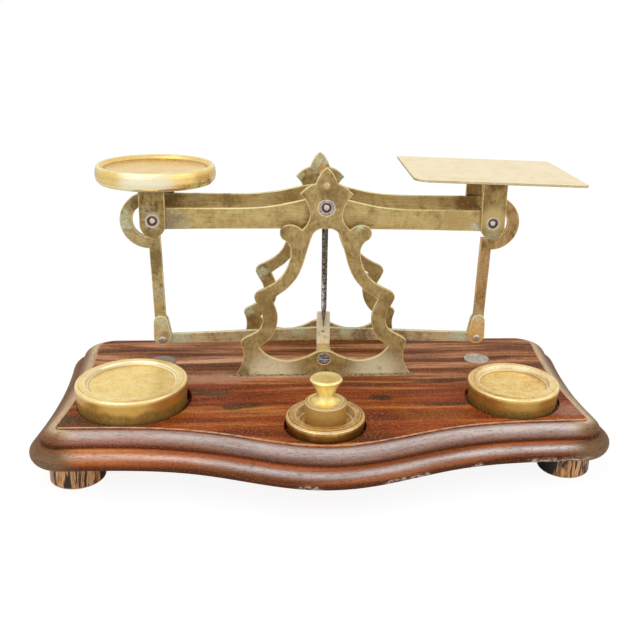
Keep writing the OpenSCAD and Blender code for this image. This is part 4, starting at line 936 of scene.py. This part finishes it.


# The weight pan is turned from thin brass: a shallow dish with a rolled rim and a skirt that
# hides the bracket's web. It was polished bright, and has dull marks where weights stood. A
# pale cream painted highlight lies on the front of its side.
pan_brass = brass("pan_brass", (250, 226, 160), (238, 202, 120), (220, 174, 88), (9.0, 9.0, 4.0), 0.04, 0.2,
    0.8, 0.4, 0.2, stain=(160, 116, 56), highlight_colour=(252, 244, 214),
    patches=((-56, 19, 118, 3.2, 176, 132, 54), (-53, 23, 118, 3.0, 150, 108, 44)),
    painted_highlights=((-84, 8.5, 118, 13.0), (-74, 8, 118, 13.0)))
line = [(0, -2.5), (22.4, -2.48), (23.6, -2.1), (24.5, -0.9), (25.2, -0.15), (25.7, 0), (26.3, -0.25),
    (26.75, -0.9), (27.1, -2.4), (27.3, -5.0), (26.8, -7.05), (25.7, -8.3), (24.5, -8.3), (25.4, -5.8),
    (25.2, -3.92), (0, -3.92)]
dish = turned([(r, PANEL_Z + 96.6 + z) for r, z in line], (-ARM, MECH_Y), True, 0.5, 160)
make("pan", [dish], "left_carrier", "weight_pan", "pan_brass", pan_brass,
    lathe=lathe_rings(dish, (-ARM, MECH_Y)))


# The letter plate is rolled 1 mm sheet with rounded corners, the front left one cut wide. It
# has a pale satin gold finish without any lettering, and leans a little to the right.
def rounded(width, depth, radii):
    """A rectangle round (0, 0) whose corners are arcs, from the front right one on."""
    places = ((1, -1, 270), (1, 1, 0), (-1, 1, 90), (-1, -1, 180))
    return np.concatenate([arc((sx * (width / 2 - r), sy * (depth / 2 - r)), r, start, start + 90,
        14) for (sx, sy, start), r in zip(places, radii)])


sheet = laid(cut_plate(rounded(79.5, 64, (2.5, 2.5, 2.5, 7)), [], 0, 1, 0.16), 0)
lean = np.radians(1.3)
x, y, z = sheet[0].T
placed = np.stack([ARM + x * np.cos(lean) + z * np.sin(lean), MECH_Y + y, PANEL_Z + 95.6 - x * np.sin(lean) + z
    * np.cos(lean)], 1)
plate_brass = brass("plate_brass", (252, 240, 204), (246, 228, 186), (228, 204, 152), (24.0, 0.5, 3.0), 0.08,
    0.34, 0.8, 0.7, stain=(206, 174, 118), rim=(166, 138, 84))
make("letter_sheet", [(placed, *sheet[1:])], "right_carrier", "letter_plate", "plate_brass", plate_brass)


# The loose weights are turned from solid brass: a disc with a hollow top inside a raised rim.
# Their rims are rubbed bright, with a painted highlight on the lip of the hollow. Their sides
# are painted a darker shade than their tops, and an olive-brown patina lies low on them.
def weight_brass(name, light, middle, side, rim_z, aged=0.75):
    """Bright lathe rings above; on the side a darker tone of painted shade, and below the band
    scallops of patina that the side keeps; a painted highlight along the lip inside the rim.
    """
    f = Finish(name)
    here = f.place()
    depth = rim_z - f.axis(here, 2)
    cloud = f.noise(here, (5.0, 5.0, 3.4), 4.0, 0.6, 0.5)
    small = f.noise(here, 1.3, 4.0, 0.65)
    speck = f.noise(here, 0.5, 3.0, 0.6)
    rings = f.lathe(0.18)
    value = cloud * 0.32 + small * 0.28 + rings * 0.25 + speck * 0.15
    colour = f.tones(value, (0.38, *middle), (0.52, *light), (0.66, 254, 238, 186))
    # Painted shade: the side takes its darker tone below the top.
    colour = f.mix(depth.ramp(0.6, 3.2) * f.mark("outside") * 0.75, colour, hue(*side))
    scallop = f.noise(here, (6.0, 6.0, 30.0), 2.0, 0.5, 0.3)
    old = (depth.ramp(2.4, 9.0) * 0.75 + scallop * 0.7 + cloud * 0.3 + small * 0.2 + speck * 0.1
        - 0.75).ramp(0.14, 0.52)
    old = old * depth.ramp(1.8, 4.2) * f.mark("outside")
    colour = f.mix(old * aged, colour, f.tones(small * 0.6 + speck * 0.4, (0.42, 92, 66, 20),
        (0.58, 148, 114, 48)))
    # Painted highlight along the lip of the hollow.
    colour = f.mix(f.mark("lip") * small.ramp(0.3, 0.5, 0.4, 0.85), colour, hue(255, 246, 216))
    edge = f.mark("edge")
    colour = f.mix(edge.ramp(0.15, 0.9) * 0.6, colour, hue(255, 242, 200))
    colour = f.mix((0 - edge).ramp(0.15, 0.9) * 0.55, colour, hue(164, 124, 62))
    colour = f.mix(speck.ramp(0.62, 0.7) * 0.6, colour, hue(140, 104, 50))
    return f.done(colour, 0.24 + small * 0.16 + old * 0.22, 0.7 - old * 0.3, relief=rings * 0.6 + small * 0.4,
        depth=0.025)


def disc_weight(name, at, r, stand, sunk, hollow, light, middle, side):
    """A disc of radius r at a place that stands some way above the panel and is sunk below it:
    hollow, stepped rim, band, tapered wall and foot, turned as one line from the top down."""
    line = [(0, stand - hollow), (r - 5.7, stand - hollow), (r - 4.7, stand - hollow + 0.7), (r - 4.25, stand),
        (r - 2.0, stand), (r - 1.6, stand - 0.25), (r - 0.7, stand - 0.35), (r - 0.1, stand - 0.9),
        (r, stand - 1.9), (r - 0.2, stand - 3.4), (r - 1.0, 0.5 - sunk), (r - 1.5, -sunk), (0, -sunk)]
    part = turned([(radius, PANEL_Z + z) for radius, z in line], at, True, 0.22, 192)
    metal = weight_brass(name + "_brass", light, middle, side, PANEL_Z + stand)
    far = np.hypot(*(part[0][:, :2] - at).T)
    make(name + "_turned", [part], name, name, "weight_brass", metal, lathe=lathe_rings(part, at),
        outside=far > r - 1.6, lip=np.exp(-(((far - (r - 4.7)) / 0.7) ** 2)))


# How far the small weight stands above the panel, its hollow's depth, and the knob's height.
SMALL_STAND, SMALL_HOLLOW, KNOB_H = 5.1, 3.9, 20.9
disc_weight("large_weight", (-85.2, -13.9), 23.9, 10.5, 6.4, 1.7, (252, 222, 138), (228, 184, 90),
    (208, 154, 60))
disc_weight("medium_weight", (84.5, -16.6), 20.6, 9.2, 3.0, 2.4, (248, 212, 124), (200, 148, 60),
    (186, 134, 50))
disc_weight("small_weight", SMALL_AT, 16.7, SMALL_STAND, 5.3, SMALL_HOLLOW, (212, 158, 66), (160, 106, 30),
    (120, 74, 16))

curve = smooth([(6.9, 9.8), (4.8, 11.1), (4.0, 13.1), (4.5, 15.4), (5.8, 17.82), (6.8, 19.58)], 4)[1:]
line = np.concatenate([[(0, 0), (8.35, 0), (8.85, 0.5), (8.85, 9.4), (8.35, 9.9), (7.0, 10.2)], curve,
    [(6.8, 19.58), (6.1, 20.35), (0, KNOB_H)]])[::-1]
base = PANEL_Z + SMALL_STAND - SMALL_HOLLOW
knob = turned([(r, base + z) for r, z in line], SMALL_AT, True, 0.25, 128)
knob_brass = weight_brass("knob_brass", (255, 234, 152), (242, 194, 98), (184, 126, 40), base + KNOB_H, 0.2)
# The lower body of the knob takes the side's darker tone of painted shade.
wall = np.hypot(*(knob[0][:, :2] - SMALL_AT).T) > 6.0
make("knob_weight_turned", [knob], "knob_weight", "knob_weight", "weight_brass", knob_brass,
    lathe=lathe_rings(knob, SMALL_AT), outside=wall * (knob[0][:, 2] < base + 10))


# The scale stands on a plain white table in soft studio light: one large lamp from the front
# left, a weaker one from the right, and an even white room.
def lamp(name, place, size, power):
    """A square lamp of a size in metres that faces the scale's middle."""
    data = bpy.data.lights.new(name, "AREA")
    data.size, data.energy = size, power
    thing = bpy.data.objects.new(name, data)
    back = unit(np.array(place) - (0.0, 0.01, 0.07))
    across = unit(np.cross((0.0, 0.0, 1.0), back))
    thing.matrix_world = Matrix([(*row, at) for row,
        at in zip(np.stack([across, np.cross(back, across), back], 1), place)] + [(0, 0, 0, 1)])
    bpy.context.scene.collection.objects.link(thing)


lamp("key_lamp", (-0.55, -0.75, 0.95), 1.3, 5.6)
lamp("fill_lamp", (0.95, -0.55, 0.6), 1.1, 2.4)

world = bpy.data.worlds.new("room")
bpy.context.scene.world = world
room = Finish("room", world)
seen = room.add("ShaderNodeLightPath")
glossy = room.add("ShaderNodeLightPath", out=3)
through = room.add("ShaderNodeLightPath", out=6)
clear = seen.maths("MAXIMUM", glossy.maths("MAXIMUM", through))
light = room.add("ShaderNodeBackground", {}, {0: (1, 1, 1, 1), 1: clear.ramp(0.0, 1.0, 0.62, 1.0)})
room.add("ShaderNodeOutputWorld", {}, {0: light})

grid = np.linspace(-3000, 3000, 9)
x, y = np.meshgrid(grid, grid)
table_mesh = bpy.data.meshes.new("table")
k = np.arange(81).reshape(9, 9)
quads = np.stack([k[:-1, :-1], k[:-1, 1:], k[1:, 1:], k[1:, :-1]], -1).reshape(-1, 4)
table_mesh.from_pydata((np.stack([x, y, np.zeros_like(x)], -1).reshape(-1, 3) * MM).tolist(), [],
    quads.tolist())
table = bpy.data.objects.new("table", table_mesh)
bpy.context.scene.collection.objects.link(table)
f = Finish("table_white")
paper = f.noise(f.place(), 40.0, 2.0)
seen = f.add("ShaderNodeLightPath")
# To the camera the table glows, so that hardly a shadow shows on it. The scale is lit by it
# as by plain white paper.
glow = f.mix(seen, (0.0, 0.0, 0.0), (0.9, 0.9, 0.9))
white = f.mix(seen, f.tones(paper, (0.0, 246, 246, 246), (1.0, 252, 252, 252)), (0.16, 0.16, 0.16))
table_mesh.materials.append(f.done(white, 0.8, specular_ior_level=0.0, emission_color=glow,
    emission_strength=1.0))


# The camera looks down on the front a little from the left, as in a catalogue picture.
yaw, pitch, roll_by = np.radians([5.91, 17.55, 1.84])
ahead = np.array([np.sin(yaw) * np.cos(pitch), np.cos(yaw) * np.cos(pitch), -np.sin(pitch)])
right = np.array([np.cos(yaw), -np.sin(yaw), 0.0])
above = np.cross(right, ahead)
cos, sin = np.cos(roll_by), np.sin(roll_by)
right, above = cos * right + sin * above, cos * above - sin * right
camera = bpy.data.cameras.new("camera")
camera.lens, camera.sensor_width, camera.shift_x, camera.shift_y = 47.69, 36.0, -0.0692, -0.0648
viewer = bpy.data.objects.new("camera", camera)
at = (-0.020604, -0.36101, 0.194776)
viewer.matrix_world = Matrix([(*row, place) for row, place in zip(np.stack([right, above, -ahead], 1), at)]
    + [(0, 0, 0, 1)])
bpy.context.scene.collection.objects.link(viewer)
bpy.context.scene.camera = viewer
bpy.context.scene.view_settings.view_transform = "Standard"

bpy.context.view_layer.update()
